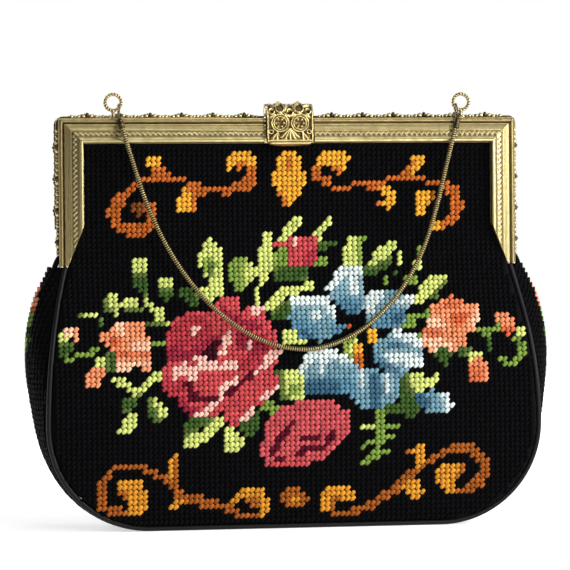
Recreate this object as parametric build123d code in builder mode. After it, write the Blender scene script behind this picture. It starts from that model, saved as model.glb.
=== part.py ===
"""Embroidered handbag on a hinged brass frame, in millimetres.

X runs to the viewer's right, -Y to the front and Z up. The origin lies under the middle of the bag.
"""

import math
import os

from build123d import *

os.makedirs("parts", exist_ok=True)

# Overall sizes
frame_width = 232.0
frame_top = 205.0
hinge_height = 135.0
opening_angle = 60.0
overrun = 6.0
sewing_gap = 0.15

# Bag: seam line seen from the front
side_swell = 7.5
corner_radius = 50.0
hinge_inset = 2.8
hinge_radius = 4.0
piping_width = 3.0
piping_proud = 0.5

# Bag: swell of the panels seen from the side
neck_height = 158.0
neck_depth = 6.2
belly_height = 55.0
belly_depth = 26.0
base_draw = 2.0

# Cloth
panel_thickness = 2.0
lining_thickness = 0.6
lining_inset = 3.0
gusset_thickness = 1.5
gusset_swell = 10.8
gusset_swell_height = 100.0
gusset_swell_start = 25.0
gusset_hinge_swell = 4.0
gusset_bottom_swell = 0.6
gusset_round_share = 0.85
gusset_steps = 10
gusset_corner_steps = 9
pad_height = 0.8

# Frame section: u runs inward from the outer edge, depth runs forward from the closing line
frame_wall = 1.2
closing_gap = 0.2
rim_width = 2.0
rim_depth = 8.0
rim_crown = 0.5
groove_width = 0.8
groove_depth = 7.4
ridge_pitch = 1.6
ridge_count = 2
ridge_depth = 8.4
ridge_crown = 0.6
band_width = 4.0
band_depth = 8.2
frame_reach = 12.5
frame_edge_depth = 7.2
lip_reach = 9.0
lip_thickness = 1.0
leg_taper_top = 152.0
leg_tip_width = 4.0
tuck_depth = 4.0

# Hinges
tab_thickness = 1.2
tab_gap = 0.1
pin_radius = 1.0
pin_clearance = 0.05
rivet_radius = 1.8
rivet_clearance = 0.5
rivet_height = 0.9
lip_end_rise = 7.0
swing_drop = 3.0
neck_width = 4.5
neck_rise = 11.0

# Gallery of florets on the outer edge
gallery_thickness = 0.8
gallery_front = 6.5
gallery_back = 3.0
gallery_end = 150.0
floret_pitch = 15.0
floret_radius = 1.9
floret_side_radius = 1.2
floret_side_step = 2.6
floret_boss_radius = 0.8
floret_boss_height = 0.5
lobe_sides = 8
eyelet_break = 6.5

# Handle
eyelet_spacing = 177.0
eyelet_depth = 7.0
eyelet_radius = 4.0
eyelet_wire = 0.7
eyelet_rise = 8.0
eyelet_foot_radius = 1.0
link_offset = 2.6
link_wire = 0.5
link_bend = 2.0
link_length = 3.6
link_tilt = 45.0
eye_radius = 1.75
eye_wire = 0.45
cap_radius = 1.6
cap_length = 5.0
chain_radius = 1.3
chain_top_depth = 11.9
chain_lean_share = 0.117
chain_bend_share = 0.45
wire_sides = 8

# Clasp
clasp_width = 24.0
clasp_bottom = 191.5
clasp_pin_depth = 4.5
clasp_pin_rise = 3.8
clasp_pin_radius = 0.7
hood_radius = 3.4
hood_thickness = 1.3
hood_arc = 7.0
cheek_thickness = 1.2
cheek_radius = 3.0
ear_radius = 1.9
ear_thickness = 1.4
ear_inset = 2.6
bracket_thickness = 0.6
bracket_back = 1.5
bracket_front = 7.5
face_clearance = 0.5
lip_height = 3.5
lip_flare = 1.5
clasp_corner = 3.5
rosette_spacing = 10.6
rosette_height = 202.3
rosette_radius = 2.3
petal_radius = 1.25
petal_count = 7
petal_height = 0.6
rosette_boss_radius = 1.3
rosette_boss_height = 1.0
palmette_step = 5.0
palmette_length = 4.6
palmette_width = 2.2
palmette_gap = 1.6
catch_width = 9.0
catch_reach = 6.6
catch_back = 6.5
catch_thickness = 0.8
catch_gap = 0.6
bead_radius = 0.5
snap_gap = 0.4
lug_width = 8.0
lug_thickness = 0.7

# Photograph scale for the motif outlines: its view comes from a little to the left, so what lies
# further forward lies further to the right
FRAME_WIDTH_PX = 458.5
FRAME_CENTRE_PX = 283.75
FRAME_TOP_PX = 118.0
BAG_BOTTOM_PX = 528.0
VIEW_LEAN_SHARE = 0.158

frame_half = frame_width / 2
seam_height = piping_width / 2
seam_side = frame_half + side_swell
bottom_half = seam_side - corner_radius
corner_top = seam_height + corner_radius
tip_height = hinge_height - hinge_radius
seam_top = tip_height - face_clearance
seam_top_x = frame_half - hinge_inset
side_drop = seam_side - seam_top_x
side_rise = seam_top - corner_top
side_radius = (side_rise**2 + side_drop**2) / (2 * side_drop)
swell_rise = neck_height - belly_height
swell_depth_change = belly_depth - neck_depth
swell_radius = (swell_rise**2 + swell_depth_change**2) / (4 * swell_depth_change)
swell_middle = (neck_height + belly_height) / 2
base_radius = (belly_height**2 + base_draw**2) / (2 * base_draw)
px_width = frame_width / FRAME_WIDTH_PX
px_height = frame_top / (BAG_BOTTOM_PX - FRAME_TOP_PX)


def swell_depth(z):
    """Depth of the front panel's face: straight neck, two equal arcs to the belly, a flat arc below."""
    if z >= neck_height:
        return neck_depth
    if z >= swell_middle:
        return neck_depth + swell_radius - math.sqrt(swell_radius**2 - (neck_height - z) ** 2)
    if z >= belly_height:
        return belly_depth - swell_radius + math.sqrt(swell_radius**2 - (z - belly_height) ** 2)
    return belly_depth - base_radius + math.sqrt(base_radius**2 - (belly_height - z) ** 2)


def curved_layer(front, back):
    """Sheet that follows the front panel's face, from front ahead of it to back behind it."""
    heights = [-overrun, belly_height, swell_middle, neck_height]
    with BuildPart() as sheet:
        with BuildSketch(Plane.YZ):
            with BuildLine():
                for shift in (-front, back):
                    for low, high in zip(heights, heights[1:]):
                        marks = (low, (low + high) / 2, high)
                        ThreePointArc(*[(shift - swell_depth(z), z) for z in marks])
                    Line((shift - neck_depth, neck_height), (shift - neck_depth, frame_top))
                for z in (-overrun, frame_top):
                    Line((-front - swell_depth(z), z), (back - swell_depth(z), z))
            make_face()
        extrude(amount=frame_width, both=True)
    return sheet.part


def seam_point(z, inset):
    """Point of the seam's side arc at height z, drawn in by inset."""
    bend = side_radius - inset
    return (seam_side - side_radius + math.sqrt(bend**2 - (z - corner_top) ** 2), z)


def draw_seam(inset, top):
    """Right half of the seam line inside a line builder: bottom, corner arc and side arc up to top."""
    bend = corner_radius - inset
    middle = (
        bottom_half + bend * math.sin(math.radians(45)),
        corner_top - bend * math.cos(math.radians(45)),
    )
    Line((0, seam_height + inset), (bottom_half, seam_height + inset))
    ThreePointArc((bottom_half, seam_height + inset), middle, (seam_side - inset, corner_top))
    ThreePointArc(
        (seam_side - inset, corner_top),
        seam_point((corner_top + top) / 2, inset),
        seam_point(top, inset),
    )


def cloth_piece(inset, tuck, front, back):
    """Front cloth: the area inside the seam, the slant beside the leg and the tuck in the frame."""
    slant_x = frame_half - frame_reach - face_clearance
    tuck_x = frame_half - tuck
    outline = [
        seam_point(seam_top, inset),
        (slant_x, leg_taper_top),
        (slant_x, neck_height),
        (tuck_x, neck_height),
        (tuck_x, frame_top - tuck),
        (0, frame_top - tuck),
    ]
    with BuildPart() as cloth:
        with BuildSketch(Plane.XZ):
            with BuildLine():
                draw_seam(inset, seam_top)
                Polyline(*outline)
                mirror(about=Plane.YZ)
            make_face()
        extrude(amount=belly_depth + overrun)
        add(curved_layer(front, back), mode=Mode.INTERSECT)
    return cloth.part


def piping_piece():
    """Welt that stands on both sides of the seam line, in the layer of the panel's edge."""
    with BuildPart() as welt:
        for inset, mode in ((-piping_width / 2, Mode.ADD), (piping_width / 2, Mode.SUBTRACT)):
            with BuildSketch(Plane.XZ):
                with BuildLine():
                    draw_seam(inset, seam_top)
                    Line(seam_point(seam_top, inset), (0, seam_top))
                    mirror(about=Plane.YZ)
                make_face()
            extrude(amount=belly_depth + overrun, mode=mode)
        add(curved_layer(piping_proud, piping_width - piping_proud), mode=Mode.INTERSECT)
    return welt.part


def gusset_bulge(z):
    """Outward bulge of the gusset: a smooth step up from the bottom, a quarter ellipse to the hinge."""
    if z > gusset_swell_height:
        share = (z - gusset_swell_height) / (seam_top - gusset_swell_height)
        return gusset_hinge_swell + (gusset_swell - gusset_hinge_swell) * math.sqrt(1 - share**2)
    share = (z - gusset_swell_start) / (gusset_swell_height - gusset_swell_start)
    share = min(max(share, 0), 1)
    return gusset_bottom_swell + (gusset_swell - gusset_bottom_swell) * share**2 * (3 - 2 * share)


def gusset_strip(outside, inside):
    """Strip round sides and bottom, between two distances inward from the seam's outer face."""
    stations = []
    for step in range(gusset_steps + 1):
        z = seam_top - face_clearance - (seam_top - face_clearance - corner_top) * step / gusset_steps
        stations.append((seam_point(z, 0)[0], z, 1, 0))
    for step in range(1, gusset_corner_steps + 1):
        turn = math.radians(90) * (1 - step / gusset_corner_steps)
        x = bottom_half + corner_radius * math.sin(turn)
        z = corner_top - corner_radius * math.cos(turn)
        stations.append((x, z, math.sin(turn), -math.cos(turn)))
    stations += [(-x, z, -out_x, out_z) for x, z, out_x, out_z in reversed(stations)]
    with BuildPart() as strip:
        for x, z, out_x, out_z in stations:
            half = swell_depth(z) - piping_width + piping_proud - sewing_gap
            bulge = min(gusset_bulge(z), half * gusset_round_share)
            with BuildSketch(Plane((x, 0, z), x_dir=(0, 1, 0), z_dir=(out_z, 0, -out_x))):
                with BuildLine():
                    ThreePointArc((-half, -outside), (0, bulge - outside), (half, -outside))
                    Line((half, -outside), (half, -inside))
                    ThreePointArc((half, -inside), (0, bulge - inside), (-half, -inside))
                    Line((-half, -inside), (-half, -outside))
                make_face()
        loft(ruled=True)
    return strip.part


# Panels, piping, gusset and lining
with BuildPart() as front_panel:
    add(cloth_piece(seam_height + sewing_gap, tuck_depth, 0, panel_thickness))

with BuildPart() as rear_panel:
    mirror(front_panel.part, about=Plane.XZ)

with BuildPart() as front_piping:
    add(piping_piece())

with BuildPart() as rear_piping:
    mirror(front_piping.part, about=Plane.XZ)

with BuildPart() as gusset:
    add(gusset_strip(-gusset_thickness / 2, gusset_thickness / 2))

with BuildPart() as front_lining:
    lining_front = panel_thickness + sewing_gap
    add(
        cloth_piece(
            seam_height + lining_inset,
            tuck_depth + sewing_gap,
            -lining_front,
            lining_front + lining_thickness,
        )
    )

with BuildPart() as rear_lining:
    mirror(front_lining.part, about=Plane.XZ)

with BuildPart() as gusset_lining:
    lining_outside = gusset_thickness / 2 + sewing_gap
    add(gusset_strip(lining_outside, lining_outside + lining_thickness))

# Stitched motifs: outlines on the photograph, laid on the swell of the front panel
ROSES_PX = [
    [
        (188, 313), (174, 320), (166, 336), (166, 361), (161, 370), (161, 386), (176, 394),
        (176, 401), (193, 417), (221, 412), (229, 425), (236, 424), (239, 418), (262, 404),
        (281, 383), (272, 371), (280, 362), (280, 351), (275, 337), (274, 328), (269, 322),
        (268, 312), (263, 308), (249, 309), (243, 313), (242, 302), (236, 298), (219, 297),
        (217, 308), (211, 313),
    ],
    [
        (264, 422), (279, 407), (294, 405), (297, 401), (334, 401), (348, 413), (347, 436),
        (325, 458), (308, 463), (300, 468), (266, 467), (257, 447), (263, 435),
    ],
    [(292, 239), (316, 241), (317, 256), (312, 269), (288, 269), (288, 261), (293, 249)],
]
BLUE_PETALS_PX = [
    [(340, 268), (359, 268), (365, 280), (365, 304), (356, 318), (341, 311), (333, 300), (326, 288)],
    [(291, 298), (324, 297), (337, 313), (337, 327), (331, 338), (318, 342), (299, 337), (288, 320)],
    [(368, 295), (396, 295), (415, 299), (405, 316), (402, 327), (391, 331), (374, 331), (366, 318)],
    [(378, 341), (395, 334), (418, 338), (424, 350), (423, 363), (402, 377), (380, 368), (371, 355)],
    [
        (307, 354), (326, 350), (343, 355), (352, 362), (361, 371), (389, 374), (400, 379),
        (399, 400), (372, 411), (358, 406), (352, 398), (340, 395), (304, 394), (304, 377), (299, 370),
    ],
    [(427, 389), (447, 396), (452, 407), (449, 416), (425, 415), (416, 404)],
]
PEACH_BUDS_PX = [
    (128.5, 345.5, 25, 25), (452.5, 327, 28, 28), (75, 330, 7, 8), (97, 374, 10, 9),
    (507, 327, 10, 10), (479, 373, 11, 10),
]
LEAVES_PX = [
    ((150, 296), (138, 256), 13), ((172, 303), (160, 277), 10), ((216, 284), (208, 241), 22),
    ((238, 290), (246, 258), 16), ((259, 288), (272, 233), 17), ((292, 237), (299, 216), 8),
    ((310, 240), (333, 221), 8), ((350, 262), (362, 238), 12), ((371, 276), (396, 243), 15),
    ((418, 305), (447, 278), 12), ((265, 303), (310, 286), 12), ((312, 282), (281, 274), 9),
    ((143, 390), (99, 376), 14), ((140, 397), (112, 428), 15), ((218, 420), (181, 446), 14),
    ((243, 424), (229, 449), 14), ((298, 396), (289, 371), 12), ((404, 374), (432, 376), 14),
    ((405, 402), (424, 444), 15), ((390, 414), (366, 460), 15), ((437, 364), (460, 392), 12),
    ((70, 336), (60, 358), 9), ((500, 342), (514, 368), 8),
]
SCROLL_STROKES_PX = [
    ((113, 214), (126, 184), (150, 184)), ((150, 184), (198, 182), (247, 189)),
    ((113, 216), (130, 233), (150, 214)), ((247, 187), (257, 163), (236, 158)),
    ((318, 162), (321, 184), (346, 189)), ((346, 189), (392, 187), (436, 184)),
    ((436, 184), (460, 196), (454, 222)), ((454, 222), (441, 228), (434, 212)),
    ((101, 486), (112, 466), (148, 470)), ((101, 488), (112, 507), (134, 502)),
    ((148, 470), (190, 498), (258, 509)), ((234, 490), (262, 488), (262, 507)),
    ((322, 490), (326, 508), (346, 511)), ((346, 511), (402, 494), (436, 456)),
    ((436, 456), (470, 455), (483, 478)), ((483, 478), (478, 494), (462, 492)),
]
SCROLL_LEAVES_PX = [
    ((160, 178), (164, 159), 8), ((187, 188), (194, 213), 9), ((385, 192), (390, 210), 10),
    ((404, 180), (421, 159), 11), ((423, 193), (422, 219), 9), ((172, 477), (173, 453), 10),
    ((118, 494), (147, 488), 15), ((410, 466), (417, 448), 10), ((411, 484), (411, 500), 12),
    ((440, 490), (462, 470), 14), ((287, 204), (287, 152), 26), ((293, 507), (293, 487), 20),
    ((359, 366), (359, 340), 9),
]
SCROLL_WIDTH_PX = 7
LEAF_SHOULDER_SHARE = 0.42


def on_panel(px):
    """Place on the front panel, seen straight on, of a point of the photograph."""
    z = (BAG_BOTTOM_PX - px[1]) * px_height
    return ((px[0] - FRAME_CENTRE_PX) * px_width - VIEW_LEAN_SHARE * swell_depth(z), z)


def leaf_outline(base, tip, width):
    """Four corners of a leaf in photograph pixels: base, two shoulders and tip."""
    run_x = tip[0] - base[0]
    run_y = tip[1] - base[1]
    reach = math.hypot(run_x, run_y)
    middle_x = base[0] + run_x * LEAF_SHOULDER_SHARE
    middle_y = base[1] + run_y * LEAF_SHOULDER_SHARE
    side_x = -run_y / reach * width / 2
    side_y = run_x / reach * width / 2
    return [base, (middle_x + side_x, middle_y + side_y), tip, (middle_x - side_x, middle_y - side_y)]


def stitched_pads(outlines=(), strokes=(), ovals=()):
    """Raised needlework on the front panel: polygons, curved strokes and ovals."""
    with BuildPart() as pads:
        with BuildSketch(Plane.XZ):
            for outline in outlines:
                Polygon(*[on_panel(px) for px in outline], align=None)
            for stroke in strokes:
                arc = Edge.make_three_point_arc(*[on_panel(px) for px in stroke])
                trace(arc, line_width=SCROLL_WIDTH_PX * px_height)
            for x, y, half_width, half_height in ovals:
                with Locations(on_panel((x, y))):
                    Ellipse(half_width * px_width, half_height * px_height)
        extrude(amount=belly_depth + overrun)
        add(curved_layer(pad_height, 0), mode=Mode.INTERSECT)
    return pads.part


with BuildPart() as rose_embroidery:
    add(stitched_pads(outlines=ROSES_PX))

with BuildPart() as blue_flower_embroidery:
    add(stitched_pads(outlines=BLUE_PETALS_PX))

with BuildPart() as peach_bud_embroidery:
    add(stitched_pads(ovals=PEACH_BUDS_PX))

with BuildPart() as scroll_embroidery:
    scroll_leaves = [leaf_outline(*leaf) for leaf in SCROLL_LEAVES_PX]
    add(stitched_pads(outlines=scroll_leaves, strokes=SCROLL_STROKES_PX))

with BuildPart() as leaf_embroidery:
    add(stitched_pads(outlines=[leaf_outline(*leaf) for leaf in LEAVES_PX]))
    add(rose_embroidery.part, mode=Mode.SUBTRACT)
    add(blue_flower_embroidery.part, mode=Mode.SUBTRACT)
    add(peach_bud_embroidery.part, mode=Mode.SUBTRACT)
    add(scroll_embroidery.part, mode=Mode.SUBTRACT)

# Frame: one mitred channel section round three sides, for both halves
lip_front = neck_depth - panel_thickness - lining_thickness - 2 * sewing_gap
ridge_start = rim_width + groove_width
band_start = ridge_start + ridge_count * ridge_pitch
lip_end = hinge_height + lip_end_rise
inner_x = frame_half - frame_reach
tip_x = frame_half - leg_tip_width


def frame_half_channel():
    """Front half before its hinge ears: mitred channel, tapered legs, lip cut back at the hinge."""
    with BuildPart() as channel:
        with BuildLine(Plane.XZ):
            Polyline(
                (-frame_half, tip_height),
                (-frame_half, frame_top),
                (frame_half, frame_top),
                (frame_half, tip_height),
            )
        with BuildSketch(Plane((-frame_half, 0, tip_height), x_dir=(1, 0, 0), z_dir=(0, 0, 1))):
            with BuildLine():
                Polyline((frame_wall, -closing_gap), (0, -closing_gap), (0, -rim_depth))
                ThreePointArc(
                    (0, -rim_depth),
                    (rim_width / 2, -rim_depth - rim_crown),
                    (rim_width, -rim_depth),
                )
                Polyline(
                    (rim_width, -rim_depth),
                    (rim_width, -groove_depth),
                    (ridge_start, -groove_depth),
                    (ridge_start, -ridge_depth),
                )
                for ridge in range(ridge_count):
                    u = ridge_start + ridge * ridge_pitch
                    ThreePointArc(
                        (u, -ridge_depth),
                        (u + ridge_pitch / 2, -ridge_depth - ridge_crown),
                        (u + ridge_pitch, -ridge_depth),
                    )
                Polyline(
                    (band_start, -ridge_depth),
                    (band_start, -band_depth),
                    (band_start + band_width, -band_depth),
                    (frame_reach, -frame_edge_depth),
                    (frame_reach, -neck_depth),
                    (frame_wall, -neck_depth),
                    (frame_wall, -lip_front),
                    (lip_reach, -lip_front),
                    (lip_reach, lip_thickness - lip_front),
                    (frame_wall, lip_thickness - lip_front),
                    (frame_wall, -closing_gap),
                )
            make_face()
        sweep(transition=Transition.RIGHT)
        for side in (-1, 1):
            with BuildSketch(Plane.XZ):
                Polygon(
                    (side * inner_x, leg_taper_top),
                    (side * tip_x, tip_height),
                    (side * tip_x, tip_height - overrun),
                    (side * (inner_x - overrun), tip_height - overrun),
                    (side * (inner_x - overrun), leg_taper_top),
                    align=None,
                )
            extrude(amount=rim_depth + overrun, mode=Mode.SUBTRACT)
            with BuildSketch(Plane.XZ):
                Polygon(
                    (side * (inner_x - overrun), tip_height - overrun),
                    (side * (inner_x - overrun), lip_end),
                    (side * (frame_half - frame_wall), lip_end),
                    (side * (frame_half - frame_wall), tip_height - overrun),
                    align=None,
                )
            extrude(amount=neck_depth, mode=Mode.SUBTRACT)
        with BuildSketch(Plane.YZ):
            with Locations((0, hinge_height)):
                Circle(rivet_radius + rivet_clearance)
        extrude(amount=frame_width, both=True, mode=Mode.SUBTRACT)
    return channel.part


front_tab_x = frame_half - frame_wall - tab_thickness
rear_tab_x = front_tab_x - tab_gap - tab_thickness
swing = math.radians(opening_angle)
channel_half = frame_half_channel()

with BuildPart() as front_frame:
    add(channel_half)
    for side in (-1, 1):
        ear_plane = Plane((side * front_tab_x, 0, 0), x_dir=(0, side, 0), z_dir=(side, 0, 0))
        with BuildSketch(ear_plane):
            with Locations((0, hinge_height)):
                Circle(hinge_radius)
            Polygon(
                (0, tip_height),
                (-side * neck_depth, tip_height),
                (-side * neck_depth, lip_end),
                (0, hinge_height + hinge_radius),
                align=None,
            )
            with Locations((0, hinge_height)):
                Circle(pin_radius, mode=Mode.SUBTRACT)
        extrude(amount=tab_thickness)

with BuildPart() as rear_frame:
    mirror(channel_half, about=Plane.XZ)
    trim_reach = rim_depth + overrun
    with BuildSketch(Plane.YZ):
        Polygon(
            (-overrun, hinge_height),
            (swing_drop / math.sin(swing), hinge_height),
            (trim_reach, hinge_height + (trim_reach * math.sin(swing) - swing_drop) / math.cos(swing)),
            (trim_reach, tip_height - overrun),
            (-overrun, tip_height - overrun),
            align=None,
        )
    extrude(amount=frame_width, both=True, mode=Mode.SUBTRACT)
    filler_foot = hinge_height + (neck_depth * math.sin(swing) - swing_drop) / math.cos(swing)
    for side in (-1, 1):
        ear_plane = Plane((side * rear_tab_x, 0, 0), x_dir=(0, side, 0), z_dir=(side, 0, 0))
        with BuildSketch(ear_plane):
            with Locations((0, hinge_height)):
                Circle(hinge_radius)
            Polygon(
                (0, hinge_height),
                (side * hinge_radius, hinge_height + hinge_radius / 2),
                (side * neck_depth, filler_foot),
                (side * neck_depth, hinge_height + neck_rise),
                (side * neck_width, hinge_height + neck_rise),
                (0, hinge_height + hinge_radius),
                align=None,
            )
            with Locations((0, hinge_height)):
                Circle(pin_radius + pin_clearance, mode=Mode.SUBTRACT)
        extrude(amount=tab_thickness)
        with BuildSketch(ear_plane):
            Polygon(
                (side * neck_depth, filler_foot),
                (side * neck_depth, hinge_height + neck_rise),
                (side * neck_width, hinge_height + neck_rise),
                (side * neck_width, filler_foot),
                align=None,
            )
        extrude(amount=frame_half - frame_wall - rear_tab_x)

hinge_pins = {}
for name, side in (("left_hinge_pin", -1), ("right_hinge_pin", 1)):
    with BuildPart() as pin:
        with BuildSketch(Plane((side * rear_tab_x, 0, 0), x_dir=(0, 1, 0), z_dir=(side, 0, 0))):
            with Locations((0, side * hinge_height)):
                Circle(pin_radius)
        extrude(amount=frame_half - frame_wall - rear_tab_x)
        with BuildSketch(
            Plane((side * (frame_half - frame_wall), 0, 0), x_dir=(0, 1, 0), z_dir=(side, 0, 0))
        ):
            with Locations((0, side * hinge_height)):
                Circle(rivet_radius)
        extrude(amount=rivet_height)
    hinge_pins[name] = pin

# Gallery: a strip on the outer edge that carries lobed florets, open at the clasp and the eyelets
with BuildPart() as front_gallery:
    outer_x = frame_half + gallery_thickness
    outer_z = frame_top + gallery_thickness
    floret_count = int((frame_half - floret_side_step) / floret_pitch)
    top_places = [(k * floret_pitch, outer_z, 0) for k in range(-floret_count, floret_count + 1)]
    side_count = int((frame_top - gallery_end - floret_side_step) / floret_pitch)
    side_places = [
        (side * outer_x, frame_top - (k + 1) * floret_pitch, 90)
        for side in (-1, 1)
        for k in range(side_count)
    ]
    strip_plane = Plane.XZ.offset(gallery_back)
    with BuildSketch(strip_plane):
        Polygon(
            (-outer_x, gallery_end),
            (-outer_x, outer_z),
            (outer_x, outer_z),
            (outer_x, gallery_end),
            align=None,
        )
        for x, z, turn in top_places + side_places:
            with Locations(Location((x, z, 0), (0, 0, turn))):
                RegularPolygon(floret_radius, lobe_sides)
                with Locations((-floret_side_step, 0), (floret_side_step, 0)):
                    RegularPolygon(floret_side_radius, lobe_sides)
        Polygon(
            (-frame_half, gallery_end - overrun),
            (-frame_half, frame_top),
            (frame_half, frame_top),
            (frame_half, gallery_end - overrun),
            align=None,
            mode=Mode.SUBTRACT,
        )
    extrude(amount=gallery_front - gallery_back)
    with BuildSketch(Plane.XZ.offset(gallery_front)):
        for x, z, turn in top_places + side_places:
            out = floret_boss_radius
            with Locations((x + math.copysign(out, x) * (turn > 0), z + out * (turn == 0))):
                RegularPolygon(floret_boss_radius, lobe_sides)
    extrude(amount=floret_boss_height)
    clear_height = 2 * (floret_radius + gallery_thickness + overrun)
    with BuildSketch(Plane.XZ):
        with Locations((0, frame_top)):
            Rectangle(clasp_width + 2 * face_clearance, clear_height)
        with Locations((-eyelet_spacing / 2, frame_top), (eyelet_spacing / 2, frame_top)):
            Rectangle(2 * eyelet_break, clear_height)
    extrude(amount=rim_depth + overrun, mode=Mode.SUBTRACT)

with BuildPart() as rear_gallery:
    mirror(front_gallery.part, about=Plane.XZ)

# Rope eyelets on the front half
pivot_drop = math.sqrt(eyelet_radius**2 - link_offset**2)
eyelet_centre = frame_top + eyelet_rise
eyelets = {}
for name, side in (("left_eyelet", -1), ("right_eyelet", 1)):
    eyelet_place = (side * eyelet_spacing / 2, -eyelet_depth, eyelet_centre)
    with BuildPart() as eyelet:
        with BuildSketch(Plane(eyelet_place)):
            with Locations((eyelet_radius, 0)):
                RegularPolygon(eyelet_wire, wire_sides)
        revolve(axis=Axis(eyelet_place, (0, 1, 0)))
        with BuildSketch(Plane.XY.offset(frame_top)):
            with Locations(eyelet_place[:2]):
                Circle(eyelet_foot_radius)
        extrude(amount=eyelet_rise - eyelet_radius)
    eyelets[name] = eyelet

# Handle: links through the eyelets, end caps and the snake chain between them
pivot_height = eyelet_centre - pivot_drop
tilt = math.radians(link_tilt)
link_run = link_length + link_bend
link_x = eyelet_spacing / 2 - link_offset
eye_y = -eyelet_depth - link_run * math.cos(tilt)
eye_z = pivot_height - link_run * math.sin(tilt)
CHAIN_ROUTE = [
    (-79.2, 181.0), (-72.0, 158.0), (-59.5, 132.5), (-42.0, 110.0), (-20.0, 94.0), (5.0, 87.5),
    (29.5, 95.0), (49.5, 111.5), (64.0, 133.0), (73.0, 157.0), (79.2, 181.0),
]
route = [(x, -chain_top_depth - (eye_z - z) * chain_lean_share, z) for x, z in CHAIN_ROUTE]
link_down = Vector(0, -math.cos(tilt), -math.sin(tilt))
cap_ends = {}
cap_axes = {}
for side, first in ((-1, route[0]), (1, route[-1])):
    cap_top = Vector(side * link_x, eye_y, eye_z) + link_down * eye_radius
    cap_axes[side] = (cap_top - Vector(first)).normalized()
    cap_ends[side] = cap_top - cap_axes[side] * cap_length
chain_points = [cap_ends[-1]] + [Vector(point) for point in route] + [cap_ends[1]]
chain_radii = []
for before, point, after in zip(chain_points, chain_points[1:], chain_points[2:]):
    turn = math.radians((point - before).get_angle(after - point))
    shorter = min((point - before).length, (after - point).length)
    chain_radii.append(chain_bend_share * shorter / math.tan(turn / 2))
print("chain radii", [round(radius, 1) for radius in chain_radii])

with BuildPart() as handle_chain:
    with BuildLine():
        FilletPolyline(*chain_points, radius=chain_radii)
    with BuildSketch(Plane(chain_points[0], z_dir=chain_points[1] - chain_points[0])):
        RegularPolygon(chain_radius, wire_sides)
    sweep()

links = {}
caps = {}
for word, side in (("left", -1), ("right", 1)):
    link_plane = Plane(
        (side * link_x, -eyelet_depth, pivot_height),
        x_dir=link_down,
        z_dir=(1, 0, 0),
    )
    with BuildPart() as link:
        with BuildLine(link_plane):
            near_top = (0, link_bend)
            far_top = (link_length, link_bend)
            Line(near_top, far_top)
            ThreePointArc(far_top, (link_run, 0), (link_length, -link_bend))
            Line((link_length, -link_bend), (0, -link_bend))
            ThreePointArc((0, -link_bend), (-link_bend, 0), near_top)
        wire_start = link_plane.from_local_coords(near_top)
        with BuildSketch(Plane(wire_start, z_dir=link_plane.x_dir)):
            RegularPolygon(link_wire, wire_sides)
        sweep()
    links[f"{word}_link"] = link
    with BuildPart() as cap:
        with BuildSketch(Plane(cap_ends[side], z_dir=cap_axes[side])):
            Circle(cap_radius)
        extrude(amount=cap_length)
        chamfer(cap.edges().sort_by(Axis.Z)[-1], cap_radius / 2)
        eye_place = (side * link_x, eye_y, eye_z)
        with BuildSketch(Plane(eye_place, x_dir=link_down, z_dir=(1, 0, 0))):
            with Locations((eye_radius, 0)):
                RegularPolygon(eye_wire, wire_sides)
        revolve(axis=Axis(eye_place, (0, math.sin(tilt), -math.cos(tilt))))
    caps[f"{word}_chain_cap"] = cap

# Clasp: bracket and pin on the front half, lift cover, snap catch on the rear half
pin_y = -clasp_pin_depth
pin_z = frame_top + clasp_pin_rise
clasp_half = clasp_width / 2
ear_x = clasp_half - ear_inset - ear_thickness
ridge_front = ridge_depth + ridge_crown

with BuildPart() as clasp_bracket:
    with BuildSketch(Plane.XY.offset(frame_top)):
        with Locations((0, -(bracket_front + bracket_back) / 2)):
            Rectangle(2 * (ear_x + ear_thickness), bracket_front - bracket_back)
    extrude(amount=bracket_thickness)
    for side in (-1, 1):
        ear_plane = Plane((side * ear_x, 0, 0), x_dir=(0, side, 0), z_dir=(side, 0, 0))
        with BuildSketch(ear_plane):
            with Locations((side * pin_y, pin_z)):
                Circle(ear_radius)
            Polygon(
                (side * (pin_y - ear_radius), frame_top),
                (side * (pin_y - ear_radius), pin_z),
                (side * (pin_y + ear_radius), pin_z),
                (side * (pin_y + ear_radius), frame_top),
                align=None,
            )
            with Locations((side * pin_y, pin_z)):
                Circle(clasp_pin_radius, mode=Mode.SUBTRACT)
        extrude(amount=ear_thickness)

with BuildPart() as clasp_pin:
    with BuildSketch(Plane.YZ):
        with Locations((pin_y, pin_z)):
            Circle(clasp_pin_radius)
    extrude(amount=clasp_half, both=True)

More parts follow.
